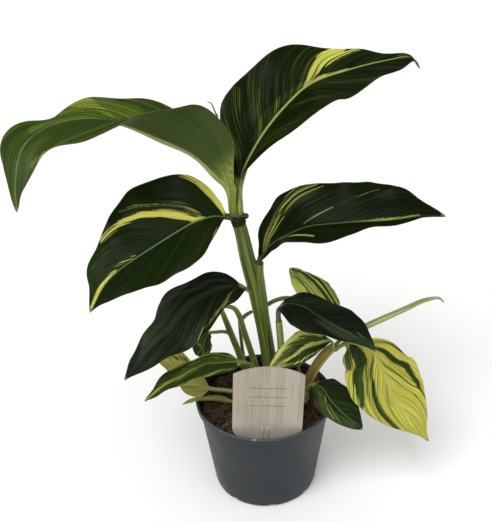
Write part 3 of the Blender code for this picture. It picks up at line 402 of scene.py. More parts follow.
        rib_line=("#b8b36c", 0.5), under=("#a8a44a", "#bab258"), stalk_colours=("#8f985c", "#c8ca96"),
        ground=1,
        stripes=((-90, (0.9, 0.9), ((86, -95), (76, -80))),
                 (-90, (0.9, 0.9), ((83, -60), (70, -38))),
                 (-80, (0.8, 1.2), ((74, 20), (55, 50))),
                 (-60, (1.6, 2.4), ((66, 50), (44, 75))),
                 (-60, (0.6, 1.4, 0.8), ((48, -75), (30, -65), (12, -40))))),
    "leaf_left_curled": dict(
        size=SMALL, radii=(1.6, 1.6), stalk=((-27.5, 15.5, 143), (-32, 12, 148.5), (-39, 7, 152)),
        rib=((-45, 3.5, 153.5), (-48.5, 0, 150), (-51.5, -2, 141.5), (-57, -3, 135)),
        half=((1.8, 4, 6, 8, 8, 7, 5, 3, TIP), (1.8, 4, 7, 10, 11, 10, 8, 4, TIP)),
        lift=((0, 20, 20, 20, 0), (20, 20, 20, 20, 0)),
        twist=(0, 40, 60, 60, 60), waves=((1, 0.4, 0), (1, 0.4, 0)),
        colours=("#263818", "#456024", "#a8b04e"), rib_line=("#7c8a50", 0.4), under=("#33431f", "#566a2c"),
        streaks=0.4,
        pale_and_sheen_areas=((70, (2, 4), ((30, 30), (80, -30))),),
        stripes=((70, (0.5, 0.8), ((45, 50), (75, -70))), (70, (0.5, 0.8), ((46, -90), (72, -75))))),
    "leaf_low_small": dict(
        size=SMALL, radii=(1.8, 1.8),
        stalk=((26.5, -6, 70), (28, -6.5, 80), (33, -8.5, 97), (38, -12, 108)),
        rib=((43, -16, 113), (49, -22, 113), (57, -27, 102), (68, -31, 91), (83, -34, 78)),
        half=((2.2, 11, 16, 18, 18, 16, 11, 6, TIP), (2.2, 12, 16, 15, 12, 10, 7, 4, TIP)),
        lift=((0, 5, 5, 5, 0), (0, 5, 5, 5, 0)),
        twist=(0, -20, -35, -35, -30), waves=((1.5, 0.5, 0), (1.5, 0.5, 0.3)),
        colours=("#141e0a", "#364a20", "#7c8c46"), rib_line=("#5c6c3c", 0.5), under=("#2a381a", "#3e4c24"),
        streaks=0.3, thin=0.1,
        pale_and_sheen_areas=((90, (2, 4.5, 5, 3), ((5, 40), (30, 55), (60, 75), (85, 50))),),
        stripes=((50, (0.4, 0.8, 0.5), ((10, 20), (40, 32), (68, 85))),
                 (45, (0.3, 0.6), ((9, 45), (56, 78))))),
    "leaf_spear": dict(
        size=SMALL, radii=(1.7, 1.7), stalk=((59.5, 2.2, 137), (66, 5, 143.3)),
        rib=((75, 6, 149), (91, 9, 155), (120, 14, 166.5), (137, 17, 173.5), (149, 19, 174.5),
             (153.5, 19.5, 170.5)),
        half=((2, 3, 3.4, 3.2, 3, 2.8, 2.2, 1.2, TIP), (2, 3, 3.4, 3.2, 3, 2.8, 2.2, 1.2, TIP)),
        lift=((55, 60, 60, 55, 40), (55, 60, 60, 55, 40)),
        colours=("#8ca462", "#b6c68c", "#dcdfae"), rib_line=("#ccd3a0", 0.4), under=("#9cb06c", "#c0ca96"),
        streaks=0.8, keel=0.8,
        pale_and_sheen_areas=((70, (2, 2), ((10, -60), (90, -60))),),
        stripes=((60, (0.4, 0.5), ((5, 0), (90, 0))),)),
    "leaf_scale_left": dict(
        size=SMALL, radii=(1.2, 1.2), stalk=((-9, -12, 70), (-10.5, -12, 80), (-19, -11, 88)),
        rib=((-30, -9.5, 91), (-48, -8, 93.5), (-60, -8, 93), (-71, -9, 88)),
        half=((1.5, 2.2, 2.6, 2.8, 2.8, 2.6, 2, 1.2, TIP), (1.5, 2.2, 2.4, 2.4, 2.4, 2.2, 1.8, 1, TIP)),
        colours=("#7e8c4a", "#a6b06a", "#c6c98c"), rib_line=("#b4ba80", 0.3), under=("#76824a", "#98a064"),
        keel=0.8,
        stripes=((50, (0.3, 0.3), ((10, 0), (90, 0))),)),
}

MARGIN_BROWN, TIP_BROWN, KEEL_GREEN = "#6c6234", "#7c745c", "#959b66"

# Noise per millimetre from vein to vein and along them; on a stalk, along it and round it
FINE_THREADS = (0.8, 0.022, 1.0)
COARSE_THREADS = (0.42, 0.012, 1.0)
CLOUDS = (0.1, 0.014, 1.0)
UPPER_VEINS = (0.7, 0.02, 1.0)
LOWER_VEINS = (0.9, 0.02, 1.0)
STALK_STREAKS = (0.03, 0.5, 1.0)
STALK_RIDGES = (0.03, 0.7, 1.0)


def linear(code):
    """Linear colour of a #rrggbb code."""
    values = [int(code[k:k + 2], 16) / 255 for k in (1, 3, 5)]
    return (*[v / 12.92 if v <= 0.04045 else ((v + 0.055) / 1.055) ** 2.4 for v in values], 1.0)


def unit(vector):
    """The vector at a length of one."""
    return vector / max(np.linalg.norm(vector), 1e-9)


def hermite(a, b, slope_a, slope_b, t):
    """Cubic between two values with the slopes given."""
    return ((2 * t**3 - 3 * t**2 + 1) * a + (t**3 - 2 * t**2 + t) * slope_a
            + (-2 * t**3 + 3 * t**2) * b + (t**3 - t**2) * slope_b)


def run_along(places, power=1.0):
    """Sum of the distances from the first place to each one, every distance raised to the power."""
    distances = np.linalg.norm(np.diff(places[:, :3], axis=0), axis=1) ** power
    return np.concatenate([[0], np.cumsum(distances)])


def dense_curve(points):
    """Smooth curve through the points, with the run of length along it."""
    places = np.array(points, float)
    knots = run_along(places, 0.5)
    slopes = np.gradient(places, knots, axis=0)
    dense = [hermite(places[i], places[i + 1], span * slopes[i], span * slopes[i + 1], k / CURVE_STEPS)
             for i, span in enumerate(np.diff(knots)) for k in range(CURVE_STEPS)]
    dense = np.array(dense + [places[-1]])
    return dense, run_along(dense)


def sample_curve(dense, run, wanted):
    """Places on a dense curve at the wanted lengths."""
    return np.stack([np.interp(wanted, run, dense[:, k]) for k in range(dense.shape[1])], 1)


def values_along(values, s):
    """Values at shares s of a list spread over STATIONS, or evenly if it has another length."""
    listed = np.array(values, float)
    places = np.array(STATIONS) if len(listed) == len(STATIONS) else np.linspace(0, 1, len(listed))
    slopes = np.gradient(listed, places)
    i = np.clip(np.searchsorted(places, s) - 1, 0, len(listed) - 2)
    span = places[i + 1] - places[i]
    return hermite(listed[i], listed[i + 1], span * slopes[i], span * slopes[i + 1], (s - places[i]) / span)


def wander(x, y, length, seed, count=8):
    """Smooth random field of about -1 to 1, with lumps about that long."""
    draw = np.random.default_rng(seed)
    total = np.zeros(np.broadcast(x, y).shape)
    for _ in range(count):
        angle, phase = draw.uniform(0, FULL_TURN, 2)
        pace = FULL_TURN / (length * draw.uniform(0.7, 1.5))
        total = total + np.sin(pace * (x * math.cos(angle) + y * math.sin(angle)) + phase)
    return total / math.sqrt(count)


def smooth(value, low, high):
    """Smooth step from 0 at low to 1 at high."""
    share = np.clip((value - low) / (high - low), 0, 1)
    return share * share * (3 - 2 * share)


def grid_faces(rows, columns, start=0, closed=False, flip=False):
    """Quads over a grid of points, closed round the columns if asked."""
    i, j = np.meshgrid(np.arange(rows - 1), np.arange(columns if closed else columns - 1), indexing="ij")
    n = (j + 1) % columns
    quads = np.stack([i * columns + j, i * columns + n, (i + 1) * columns + n, (i + 1) * columns + j], -1)
    quads = quads.reshape(-1, 4) + start
    return quads[:, ::-1] if flip else quads


def edge_faces(row, start, flip=False):
    """Quads that join a row of points on one sheet to the same row on a second, numbered from start."""
    a, b = row[:-1], row[1:]
    return np.stack((a, a + start, b + start, b) if flip else (a, b, b + start, a + start), 1)


def make_mesh_object(name, points, faces, sharp=50, **vectors):
    """A mesh from points in millimetres, smooth with sharp edges kept, and what its material reads."""
    mesh = bpy.data.meshes.new(name)
    mesh.from_pydata((np.array(points, float) * MM).tolist(), [], [list(map(int, face)) for face in faces])
    mesh.validate()
    mesh.shade_smooth()
    mesh.set_sharp_from_angle(angle=math.radians(sharp))
    item = bpy.data.objects.new(name, mesh)
    bpy.context.scene.collection.objects.link(item)
    for key, values in vectors.items():
        set_vectors(item, key, values)
    return item


def set_vectors(item, name, values):
    """Store three numbers at each point of a mesh, for its material to read."""
    attribute = item.data.attributes.new(name, "FLOAT_VECTOR", "POINT")
    attribute.data.foreach_set("vector", np.array(values, np.float32).ravel())


def vectors_of(item, name):
    """Three numbers at each point of a mesh."""
    values = np.zeros(3 * len(item.data.vertices), np.float32)
    item.data.attributes[name].data.foreach_get("vector", values)
    return values.reshape(-1, 3)


def finish_piece(item, slot, nodes, *materials):
    """A piece of the plant rides on the one body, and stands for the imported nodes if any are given."""
    for material in materials:
        item.data.materials.append(material)
    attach(item, "root")
    if nodes:
        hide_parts(*nodes)


def combine(item, other, operation):
    """Join another closed piece to this one or cut it out, and make the result the object's own mesh."""
    modifier = item.modifiers.new("combine", "BOOLEAN")
    modifier.operation = operation
    modifier.solver = "EXACT"
    modifier.object = other
    graph = bpy.context.evaluated_depsgraph_get()
    mesh = bpy.data.meshes.new_from_object(item.evaluated_get(graph))
    item.modifiers.clear()
    item.data = mesh
    bpy.data.objects.remove(other)


class Value:
    """An output of a material's nodes. What is worked out from it adds a node to the material."""

    def __init__(self, shader, socket):
        self.shader = shader
        self.socket = socket

    def math(self, operation, other=0.0):
        return self.shader.add("Math", {0: self, 1: other}, operation=operation)

    def __add__(self, other):
        return self.math("ADD", other)

    def __sub__(self, other):
        return self.math("SUBTRACT", other)

    def __mul__(self, other):
        return self.math("MULTIPLY", other)

    def __truediv__(self, other):
        return self.math("DIVIDE", other)

    def __abs__(self):
        return self.math("ABSOLUTE")

    def clamped(self):
        """The same value, held between 0 and 1."""
        self.socket.node.use_clamp = True
        return self

    def step(self, low, high, start=0.0, end=1.0):
        """Smooth step from start at low to end at high."""
        inputs = {0: self, 1: low, 2: high, 3: start, 4: end}
        return self.shader.add("MapRange", inputs, interpolation_type="SMOOTHSTEP")

    def part(self, axis):
        return self.shader.add("SeparateXYZ", {0: self}, axis)

    def scaled(self, factors):
        return self.shader.add("VectorMath", {0: self, 1: factors}, operation="MULTIPLY")

    def noise(self, scale=1.0, detail=2.0, roughness=0.5):
        inputs = {"Vector": self, "Scale": scale, "Detail": detail, "Roughness": roughness}
        return self.shader.add("TexNoise", inputs)


class Shader:
    """A Principled material under construction, with the colour laid down so far."""

    def __init__(self, name, roughness, specular):
        self.material = bpy.data.materials.new(name)
        self.material.use_nodes = True
        self.tree = self.material.node_tree
        self.surface = self.tree.nodes["Principled BSDF"]
        self.colour = None
        self.set("Roughness", roughness)
        self.set("Specular IOR Level", specular)

    def put(self, socket, value):
        """Link a value to a socket, or set it to a number, a vector or a #rrggbb code."""
        if isinstance(value, Value):
            self.tree.links.new(value.socket, socket)
        else:
            socket.default_value = linear(value) if isinstance(value, str) else value

    def set(self, name, value):
        self.put(self.surface.inputs[name], value)

    def add(self, kind, inputs, output=0, **settings):
        """Add a node with its settings and inputs, and give one of its outputs."""
        node = self.tree.nodes.new("ShaderNode" + kind)
        for key, value in settings.items():
            setattr(node, key, value)
        for key, value in inputs.items():
            self.put(node.inputs[key], value)
        return Value(self, node.outputs[output])

    def attribute(self, name):
        return self.add("Attribute", {}, "Vector", attribute_name=name)

    def position(self):
        """Place in metres, as the mesh has it."""
        return self.add("TexCoord", {}, "Object")

    def mix(self, share, a, b):
        return self.add("Mix", {0: share, 6: a, 7: b}, 2, data_type="RGBA")

    def base(self, share, a, b):
        """Start with a mix of two colours."""
        self.colour = self.mix(share, a, b)

    def paint(self, share, colour):
        """Lay a colour over what is there, where share is above 0."""
        self.colour = self.mix(share, self.colour, colour)

    def bump(self, height, distance, strength, under=None):
        """Normal of a relief, in millimetres, over another normal if one is given."""
        inputs = {"Height": height, "Distance": distance * MM, "Strength": strength}
        if under:
            inputs["Normal"] = under
        return self.add("Bump", inputs)

    def finish(self, normal):
        """Connect the colour and the normal, and give the material."""
        self.set("Base Color", self.colour)
        self.set("Normal", normal)
        return self.material


# Leaves

def blade_threads(shader, reach):
    """Threads along the veins, fine and coarse, and the yellow bands that they feather."""
    veins = shader.attribute("veins")
    yellow = shader.attribute("stripes").part(1)
    fine = veins.scaled(FINE_THREADS).noise(detail=4.0, roughness=0.6)
    coarse = veins.scaled(COARSE_THREADS).noise(detail=3.0)
    feather = (fine - 0.5 + coarse * 0.5 - 0.25) * reach * yellow.step(0.0, 0.2)
    return veins, fine, coarse, (yellow + feather).step(0.28, 0.62)


def upper_material(name, leaf):
    """Satin upper face: green with broken yellow stripes that run along the veins."""
    dark, light, yellow = leaf["colours"]
    shader = Shader(name + "_upper", 0.4, leaf["gloss"])
    veins, fine, coarse, band = blade_threads(shader, 2.6)
    # Paler green areas, and on some leaves a painted sheen along the pleats
    pale_and_sheen = shader.attribute("stripes").part(2)
    clouds = veins.scaled(CLOUDS).noise(detail=1.0)
    paler_green_and_sheen = (pale_and_sheen * 0.8 + clouds.step(0.40, 0.75, 0.0, 0.3) + fine.step(0.35, 0.70, -0.15, 0.25)).clamped()
    green = shader.mix(paler_green_and_sheen, dark, light)
    striped = striped_yellow(shader, fine, coarse, linear(yellow))
    if leaf["ground"]:
        threads = fine.step(0.50, 0.60) * clouds.step(0.30, 0.55) * leaf["streaks"]
        shader.base(threads, shader.mix(band, green, striped), green)
    else:
        patches = (clouds.step(0.40, 0.60, 0.0, 0.25) + pale_and_sheen * 1.6).clamped()
        threads = fine.step(0.54, 0.66) * patches * leaf["streaks"]
        shader.base(band, shader.mix(threads, green, shader.mix(leaf["thin"], light, yellow)), striped)
    add_rib(shader, veins, *leaf["rib_line"])
    add_ends(shader, fine, leaf)
    shader.set("Roughness", clouds.step(0.3, 0.7, 0.34, 0.46))
    relief = shader.bump(veins.scaled(UPPER_VEINS).noise(detail=3.0), 0.35, 0.5)
    return shader.finish(shader.bump(veins.noise(1.3), 0.05, 0.5, relief))


def striped_yellow(shader, fine, coarse, yellow):
    """Yellow of a band: deeper and paler threads of one colour."""
    pale = tuple(min(1.0, v * 1.2) for v in yellow[:3]) + (1.0,)
    deep = tuple(v * k for v, k in zip(yellow[:3], (0.55, 0.64, 0.45))) + (1.0,)
    colour = shader.mix(coarse.step(0.34, 0.50), deep, yellow)
    return shader.mix(fine.step(0.52, 0.70, 0.0, 0.7), colour, pale)


def add_rib(shader, veins, code, half):
    """Pale line of the rib, thinner towards the tip."""
    narrow = shader.attribute("stripes").part(0) * (-0.75 * half) + half
    shader.paint((abs(veins.part(1)) / narrow).step(1.3, 0.5, 0.0, 0.95), code)


def add_ends(shader, fine, leaf):
    """The stalk's colour at the blade's foot, a thin brown line round its margin, and a dry point."""
    share = shader.attribute("stripes").part(0)
    near = (share + (fine - 0.5) * 0.06).step(0.0, leaf["fade"], 1.0, 0.0)
    shader.paint(near, stalk_colour(shader, leaf))
    shader.paint(shader.attribute("margin").part(0).step(0.972, 0.995, 0.0, 0.35), MARGIN_BROWN)
    shader.paint(share.step(0.972, 0.992, 0.0, 0.9), TIP_BROWN)


def stalk_colour(shader, leaf):
    """Green of a stalk, with soft streaks along it."""
    grain = shader.attribute("veins").scaled(STALK_STREAKS).noise(detail=3.0)
    return shader.mix(grain.step(0.32, 0.66), *leaf["stalk_colours"])


def lower_material(name, leaf):
    """Matt lower face: paler green with fine veins, fainter stripes and a thick pale keel."""
    shader = Shader(name + "_lower", 0.55, 0.14)
    veins, fine, _, band = blade_threads(shader, 2.0)
    shader.base(fine.step(0.3, 0.7), *leaf["under"])
    shader.paint(band * 0.35, leaf["colours"][2])
    shader.paint(abs(veins.part(1)).step(2.8, 1.0) * leaf["keel"], KEEL_GREEN)
    add_ends(shader, fine, leaf)
    return shader.finish(shader.bump(veins.scaled(LOWER_VEINS).noise(detail=3.0), 0.35, 0.6))


def stalk_material(name, leaf):
    """Stalk: pale green with long soft streaks."""
    shader = Shader(name + "_stalk", 0.42, 0.18)
    shader.colour = stalk_colour(shader, leaf)
    grain = shader.attribute("veins").scaled(STALK_RIDGES).noise(detail=4.0)
    return shader.finish(shader.bump(grain, 0.4, 0.6))


def leaf_path(leaf):
    """Places along a leaf's stalk and rib, their lengths, the stalk's length and its rows."""
    dense, run = dense_curve(leaf["stalk"] + leaf["rib"])
    base = run[CURVE_STEPS * len(leaf["stalk"])]
    stalk_steps = max(6, int(base / STALK_STEP))
    blade_steps = leaf["size"][0]
    lengths = np.concatenate([np.linspace(0, base, stalk_steps + 1)[:-1],
                              np.linspace(base, run[-1], blade_steps + 1)])
    return sample_curve(dense, run, lengths), lengths, base, stalk_steps


def leaf_frames(path, heading, stalk_steps):
    """Right-hand and upward vectors: level along the blade, carried back along the stalk."""
    level = unit(np.cross(heading * (1, 1, 0), (0, 0, 1)))
    last = len(path) - 1
    tangents = [unit(path[min(i + 1, last)] - path[max(i - 1, 0)]) for i in range(last + 1)]
    rights = [unit(level - tangent * level.dot(tangent)) for tangent in tangents]
    for i in range(stalk_steps - 1, -1, -1):
        rights[i] = unit(rights[i + 1] - tangents[i] * rights[i + 1].dot(tangents[i]))
    return np.array(rights), np.array([np.cross(right, tangent) for right, tangent in zip(rights, tangents)])


def blade_sides(leaf, s, t):
    """Half width, lift, sweep and margin wave at every place along and across the blade."""
    fade = np.minimum(1.0, np.minimum(6 * s, 8 * (1 - s)))
    pairs = [[values_along(values, s) for values in leaf[key]] for key in ("half", "lift", "sweep")]
    pairs.append([height * fade * np.sin(FULL_TURN * (count * s + phase))
                  for count, height, phase in leaf["waves"]])
    width, lift, sweep, wave = [np.where(t > 0, right[:, None], left[:, None]) for left, right in pairs]
    return np.maximum(width, TIP), np.radians(lift), sweep, wave


def blade_sheet(leaf, rights, ups, s, t):
    """Offsets of the upper face from the rib, and the half width at each place."""
    twist = np.radians(values_along(leaf["twist"], s))[:, None]
    right = (np.cos(twist) * rights + np.sin(twist) * ups)[:, None, :]
    up = (np.cos(twist) * ups - np.sin(twist) * rights)[:, None, :]
    width, lift, sweep, wave = blade_sides(leaf, s, t)
    sign = np.where(t > 0, 1.0, -1.0)[None, :, None]
    share = np.abs(t)[None, :]
    lift = lift[..., None]
    outward = sign * np.cos(lift) * right + np.sin(lift) * up
    normal = np.cos(lift) * up - sign * np.sin(lift) * right
    bulge = 0.1 * width * share * (1 - share)
    along = np.cross(up, right) * sweep[..., None]
    height = (bulge + wave * share * share)[..., None]
    return (outward + along) * (width * share)[..., None] + normal * height, width


def rounded_crease(sheet):
    """Round the fold along the rib by averaging the places beside it."""
    middle = sheet.shape[1] // 2
    for reach in range(CREASE_ROUND, 0, -1):
        low, high = middle - reach, middle + reach + 1
        part = sheet[:, low:high]
        sheet[:, low:high] = (sheet[:, low - 1:high - 1] + 2 * part + sheet[:, low + 1:high + 1]) / 4
    return sheet


def sheet_normals(grid):
    """Unit normals of the upper face."""
    normals = np.cross(np.gradient(grid, axis=1), np.gradient(grid, axis=0))
    return normals / np.maximum(np.linalg.norm(normals, axis=2, keepdims=True), 1e-9)


def blade_relief(vein, across, s, share, seed):
    """Height of pleats along the veins, slow swells and a small margin ripple, less the rib's groove."""
    window = smooth(share, 0.02, 0.3) * (1 - smooth(share, 0.55, 0.95))
    ends = smooth(s, 0.0, 0.1) * smooth(1 - s, 0.0, 0.12)
    bend = 1.5 * wander(vein, across, 40, seed)
    pleats = PLEAT_HEIGHT * np.sin(FULL_TURN * vein / PLEAT_STEP + bend) * window
    swell = SWELL_HEIGHT * wander(vein, across, SWELL_LENGTH, seed + 1) * smooth(share, 0.1, 0.9)
    ripple = RIPPLE_HEIGHT * wander(s * 150, across * 0, RIPPLE_LENGTH, seed + 2) * smooth(share, 0.6, 1.0)
    groove = GROOVE_DEPTH * np.exp(-((across / GROOVE_WIDTH) ** 2))
    return (pleats + swell + ripple) * ends - groove * smooth(s, 0.0, 0.05)


def stripe_share(xs, ys, line, halves):
    """How far each place lies inside a stripe: 1 on its middle and 0 outside."""
    widths = np.interp(np.linspace(0, 1, len(line)), np.linspace(0, 1, len(halves)), halves)
    best = np.full(xs.shape, -9.0)
    for k in range(len(line) - 1):
        (ax, ay), (bx, by) = line[k], line[k + 1]
        dx, dy = bx - ax, by - ay
        share = np.clip(((xs - ax) * dx + (ys - ay) * dy) / (dx * dx + dy * dy), 0, 1)
        gap = np.hypot(xs - ax - share * dx, ys - ay - share * dy)
        half = widths[k] + share * (widths[k + 1] - widths[k])
        best = np.maximum(best, (half - gap) / STRIPE_SOFT + 0.5)
    return np.clip(best, 0, 1)


def on_blade(leaf, length, along, across):
    """Place in millimetres from shares along and across the blade."""
    side = leaf["half"][1 if across > 0 else 0]
    return along * length, across * float(values_along(side, np.array([along]))[0])


def painted(leaf, length, s, across, areas):
    """Strength of the strongest area or stripe at each place of the blade."""
    total = np.zeros(across.shape)
    xs = np.broadcast_to((s * length)[:, None], across.shape)
    for strength, halves, line in areas:
        places = [on_blade(leaf, length, a / 100, b / 100) for a, b in line]
        share = strength / 100 * stripe_share(xs, across, places, halves)
        total = np.where(np.abs(share) > np.abs(total), share, total)
    return total


def stalk_round(radii, along, rights, ups, t):
    """Upper and lower offsets of a round stalk whose top opens into a groove towards the blade."""
    half = np.sqrt(np.maximum(1 - t * t, 0.0))[None, :, None]
    cross = t[None, :, None]
    radius = (radii[0] + (radii[1] - radii[0]) * along)[:, None, None]
    right, up = rights[:, None, :] * radius, ups[:, None, :] * radius
    full = (STALK_TOP - STALK_OPEN * along)[:, None, None]
    upper = right * cross + up * (full * half + STALK_CUP * cross * cross)
    lower = right * cross * 0.98 - up * np.maximum(half, 0.16)
    return upper, lower


def vein_places(leaf, s, share, across, length):
    """For each place, the length along the rib at which its vein leaves it."""
    if leaf["slant"]:
        return across - leaf["slant"] * s * length
    run = leaf["vein_run"] * share ** VEIN_BEND
    return (s - run - FOOT_SWEEP * (1 - np.exp(-share / FOOT_SHARE))) * length


def stacked(shape, parts):
    """Three numbers at each place of a grid."""
    return np.stack([np.broadcast_to(part, shape) for part in parts], -1)


def leaf_surfaces(leaf, seed):
    """Upper and lower grids of a leaf, what its material reads at each place, and its stalk's rows."""
    path, lengths, base, stalk_steps = leaf_path(leaf)
    rights, ups = leaf_frames(path, np.array(leaf["rib"][-1], float) - leaf["rib"][0], stalk_steps)
    length = lengths[-1] - base
    s = np.clip((lengths - base) / length, 0, 1)
    blend = smooth(1 + STALK_BLEND * (lengths - base) / length, 0, 1)[:, None, None]
    columns = np.linspace(-1, 1, leaf["size"][1] + 1)
    t = np.array([math.copysign(abs(k) ** COLUMN_POWER, k) for k in columns])
    share = np.abs(t)[None, :]
    sheet, width = blade_sheet(leaf, rights, ups, s, t)
    sheet = rounded_crease(sheet)
    across = width * t[None, :]
    vein = vein_places(leaf, s[:, None], share, across, length)
    normals = sheet_normals(path[:, None] + sheet)
    sheet = sheet + normals * blade_relief(vein, across, s[:, None], share, seed)[..., None]
    depth = BLADE_MIDDLE + (BLADE_EDGE - BLADE_MIDDLE) * share ** 2
    keel = KEEL_DEPTH * (1 - s[:, None]) ** 0.7 * np.exp(-((across / KEEL_WIDTH) ** 2))
    stalk_up, stalk_low = stalk_round(leaf["radii"], np.clip(lengths / base, 0, 1), rights, ups, t)
    upper = path[:, None] + stalk_up * (1 - blend) + sheet * blend
    lower = path[:, None] + stalk_low * (1 - blend) + (sheet - normals * (depth + keel)[..., None]) * blend
    yellow = np.clip(leaf["ground"] + painted(leaf, length, s, across, leaf["stripes"]), 0, 1)
    pale_and_sheen = np.clip(painted(leaf, length, s, across, leaf["pale_and_sheen_areas"]), 0, 1)
    is_stalk = (lengths < base)[:, None]
    vein = np.where(is_stalk, (lengths - base)[:, None], vein)
    across = np.where(is_stalk, leaf["radii"][1] * t[None, :] * STALK_ACROSS, across)
    half_seed = np.where(t > 0, HALF_SEED, 0.0)[None, :] + seed * LEAF_SEED
    read = {"veins": (vein, across, half_seed), "stripes": (s[:, None], yellow, pale_and_sheen),
            "margin": (share, 0, 0)}
    return upper, lower, {key: stacked(across.shape, parts) for key, parts in read.items()}, stalk_steps


def make_leaf(name, leaf, seed, slot):
    """One leaf with its stalk as a thin closed blade."""
    upper, lower, read, stalk_steps = leaf_surfaces(leaf, seed)
    rows, columns = upper.shape[:2]
    start = rows * columns
    top = grid_faces(rows, columns)
    bottom = grid_faces(rows, columns, start, flip=True)
    index = np.arange(start).reshape(rows, columns)
    edges = ((index[:, 0], False), (index[:, -1], True), (index[0], True), (index[-1], False))
    faces = np.concatenate([top, bottom] + [edge_faces(row, start, flip) for row, flip in edges])
    points = np.concatenate([upper.reshape(-1, 3), lower.reshape(-1, 3)])
    vectors = {key: np.concatenate([values.reshape(-1, 3)] * 2) for key, values in read.items()}
    item = make_mesh_object(name + "_fine", points, faces, sharp=60, **vectors)
    finish_piece(item, slot, [name], upper_material(name, leaf), lower_material(name, leaf),
                 stalk_material(name, leaf))
    kinds = np.zeros(len(faces), np.int32)
    kinds[len(top):len(top) + len(bottom)] = 1
    stalk_faces = (stalk_steps - 1) * (columns - 1)
    kinds[:stalk_faces] = 2
    kinds[len(top):len(top) + stalk_faces] = 2
    item.data.polygons.foreach_set("material_index", kinds)


def make_leaves():
    """All the leaves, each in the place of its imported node."""
    slots = {part["node"]: part["material_slot"] for part in frame["record"]["subparts"]}
    for seed, (name, leaf) in enumerate(LEAVES.items()):
        make_leaf(name, {**PLAIN_LEAF, **leaf}, seed, slots[name])


# Stems and dry parts

def ring(angles, across, other):
    """Unit vectors round a ring between two axes."""
    return np.cos(angles)[:, None] * across + np.sin(angles)[:, None] * other


def round_shape(angles, far):
    """Plain round section, the same all along."""
    return np.ones(len(angles)), np.zeros(len(angles))


def ring_tube(name, rows, sides, steps, shape=round_shape, seed=0.0):
    """Closed stem along rows of x, y, z, radius.

    The shape gives, round the stem at a length along it, a factor for the radius and the painted shade of a
    fold.
    """
    dense, run = dense_curve(rows)
    path = sample_curve(dense, run, np.linspace(0, run[-1], steps + 1))
    angles = FULL_TURN * np.arange(sides) / sides
    across = np.array((1.0, 0.0, 0.0))
    points, veins, folds = [], [], []
    for i in range(steps + 1):
        tangent = unit(path[min(i + 1, steps), :3] - path[max(i - 1, 0), :3])
        across = unit(across - tangent * across.dot(tangent))
        place, radius = path[i, :3], path[i, 3]
        far = run[-1] * i / steps
        factor, dark = shape(angles, far)
        points.append(place + ring(angles, across, np.cross(tangent, across)) * (radius * factor)[:, None])
        turned = radius * np.cos(angles), radius * np.sin(angles)
        veins.append(np.stack([np.full(sides, far + 90 * seed), *turned], 1))
        folds.append(np.stack([dark, dark, dark], 1))
    faces = grid_faces(steps + 1, sides, closed=True).tolist()
    faces += [list(reversed(range(sides))), [steps * sides + k for k in range(sides)]]
    return make_mesh_object(name, np.concatenate(points), faces, sharp=60,
                            veins=np.concatenate(veins), folds=np.concatenate(folds))


def waves_round(angles, far, waves):
    """Sum of waves round a ring, each a height, a count and how fast it turns with the length."""
    return sum(height * np.sin(count * angles + lean * far) for height, count, lean in waves)


def wrapped(angles, far, edge, lean, step):
    """Radius of a stem wrapped in one sheath, whose edge makes a small step with a fold in it, and the
    painted shade of the fold.
    """
    gap = np.mod(angles - edge - lean * far, FULL_TURN)
    fold = np.exp(-((np.minimum(gap, FULL_TURN - gap) / FOLD_WIDTH) ** 2))
    return 1 + step * (0.5 - gap / FULL_TURN) - FOLD_DEPTH * fold, fold


def main_shape(angles, far):
    """Main stem: one sheath edge on its right, with shallow ridges all round."""
    radius, fold = wrapped(angles, far, edge=-1.15, lean=0.0016, step=0.09)
    return radius + waves_round(angles, far, MAIN_RIDGES), fold


def side_shape(angles, far):
    """Side stem: a sheath edge and shallow ridges."""
    radius, fold = wrapped(angles, far, edge=-2.0, lean=0.006, step=0.12)
    return radius + waves_round(angles, far, SIDE_RIDGES), 0.6 * fold


def flake_shape(angles, far):
    """Flat section of a dry flake, the same all along."""
    turned = angles + FLAKE_TURN
    return np.sqrt(np.cos(turned) ** 2 + (FLAKE_FLAT * np.sin(turned)) ** 2), np.zeros(len(angles))


def join(item, other):
    """Join another closed piece to this one; each new point reads what its nearest old point read."""
    old = {name: np.concatenate([vectors_of(part, name) for part in (item, other)])
           for name in ("position", "veins", "folds")}
    combine(item, other, "UNION")
    tree = KDTree(len(old["position"]))
    for k, place in enumerate(old["position"]):
        tree.insert(place, k)
    tree.balance()
    nearest = [tree.find(vertex.co)[1] for vertex in item.data.vertices]
    for name in ("veins", "folds"):
        item.data.attributes.remove(item.data.attributes[name])
        set_vectors(item, name, old[name][nearest])


def stem_material(name, deep, middle, pale, foot=None, spots=()):
    """Stem: long streaks, painted shade in its folds and a few brown specks, with a foot and spots of other
    colours.
    """
    shader = Shader(name, 0.42, 0.2)
    veins, place = shader.attribute("veins"), shader.position()
    fine = veins.scaled((0.014, 0.55, 0.55)).noise(detail=4.0, roughness=0.6)
    clouds = veins.scaled((0.008, 0.22, 0.22)).noise(detail=1.0)
    shader.base(clouds.step(0.35, 0.65), deep, middle)
    shader.paint(fine.step(0.48, 0.64, 0.0, 0.7), pale)
    shader.paint(fine.step(0.44, 0.34, 0.0, 0.4), deep)
    shader.paint(place.noise(90.0, 3.0).step(0.66, 0.74, 0.0, 0.6), "#5a4a24")
    if foot:
        shader.paint(place.part(2).step(STEM_FADE * MM, STEM_FOOT * MM), foot)
    for spot, reach, code in spots:
        inputs = {0: place, 1: Vector(spot) * MM}
        away = shader.add("VectorMath", inputs, "Value", operation="DISTANCE")
        shader.paint(away.step(reach * MM, 0.6 * reach * MM, 0.0, 0.85), code)
    # Painted shade in the folds of the sheath edges
    shader.paint(shader.attribute("folds").part(0).step(0.2, 0.9, 0.0, 0.8), "#1e2408")
    return shader.finish(shader.bump(fine, 0.5, 0.7))


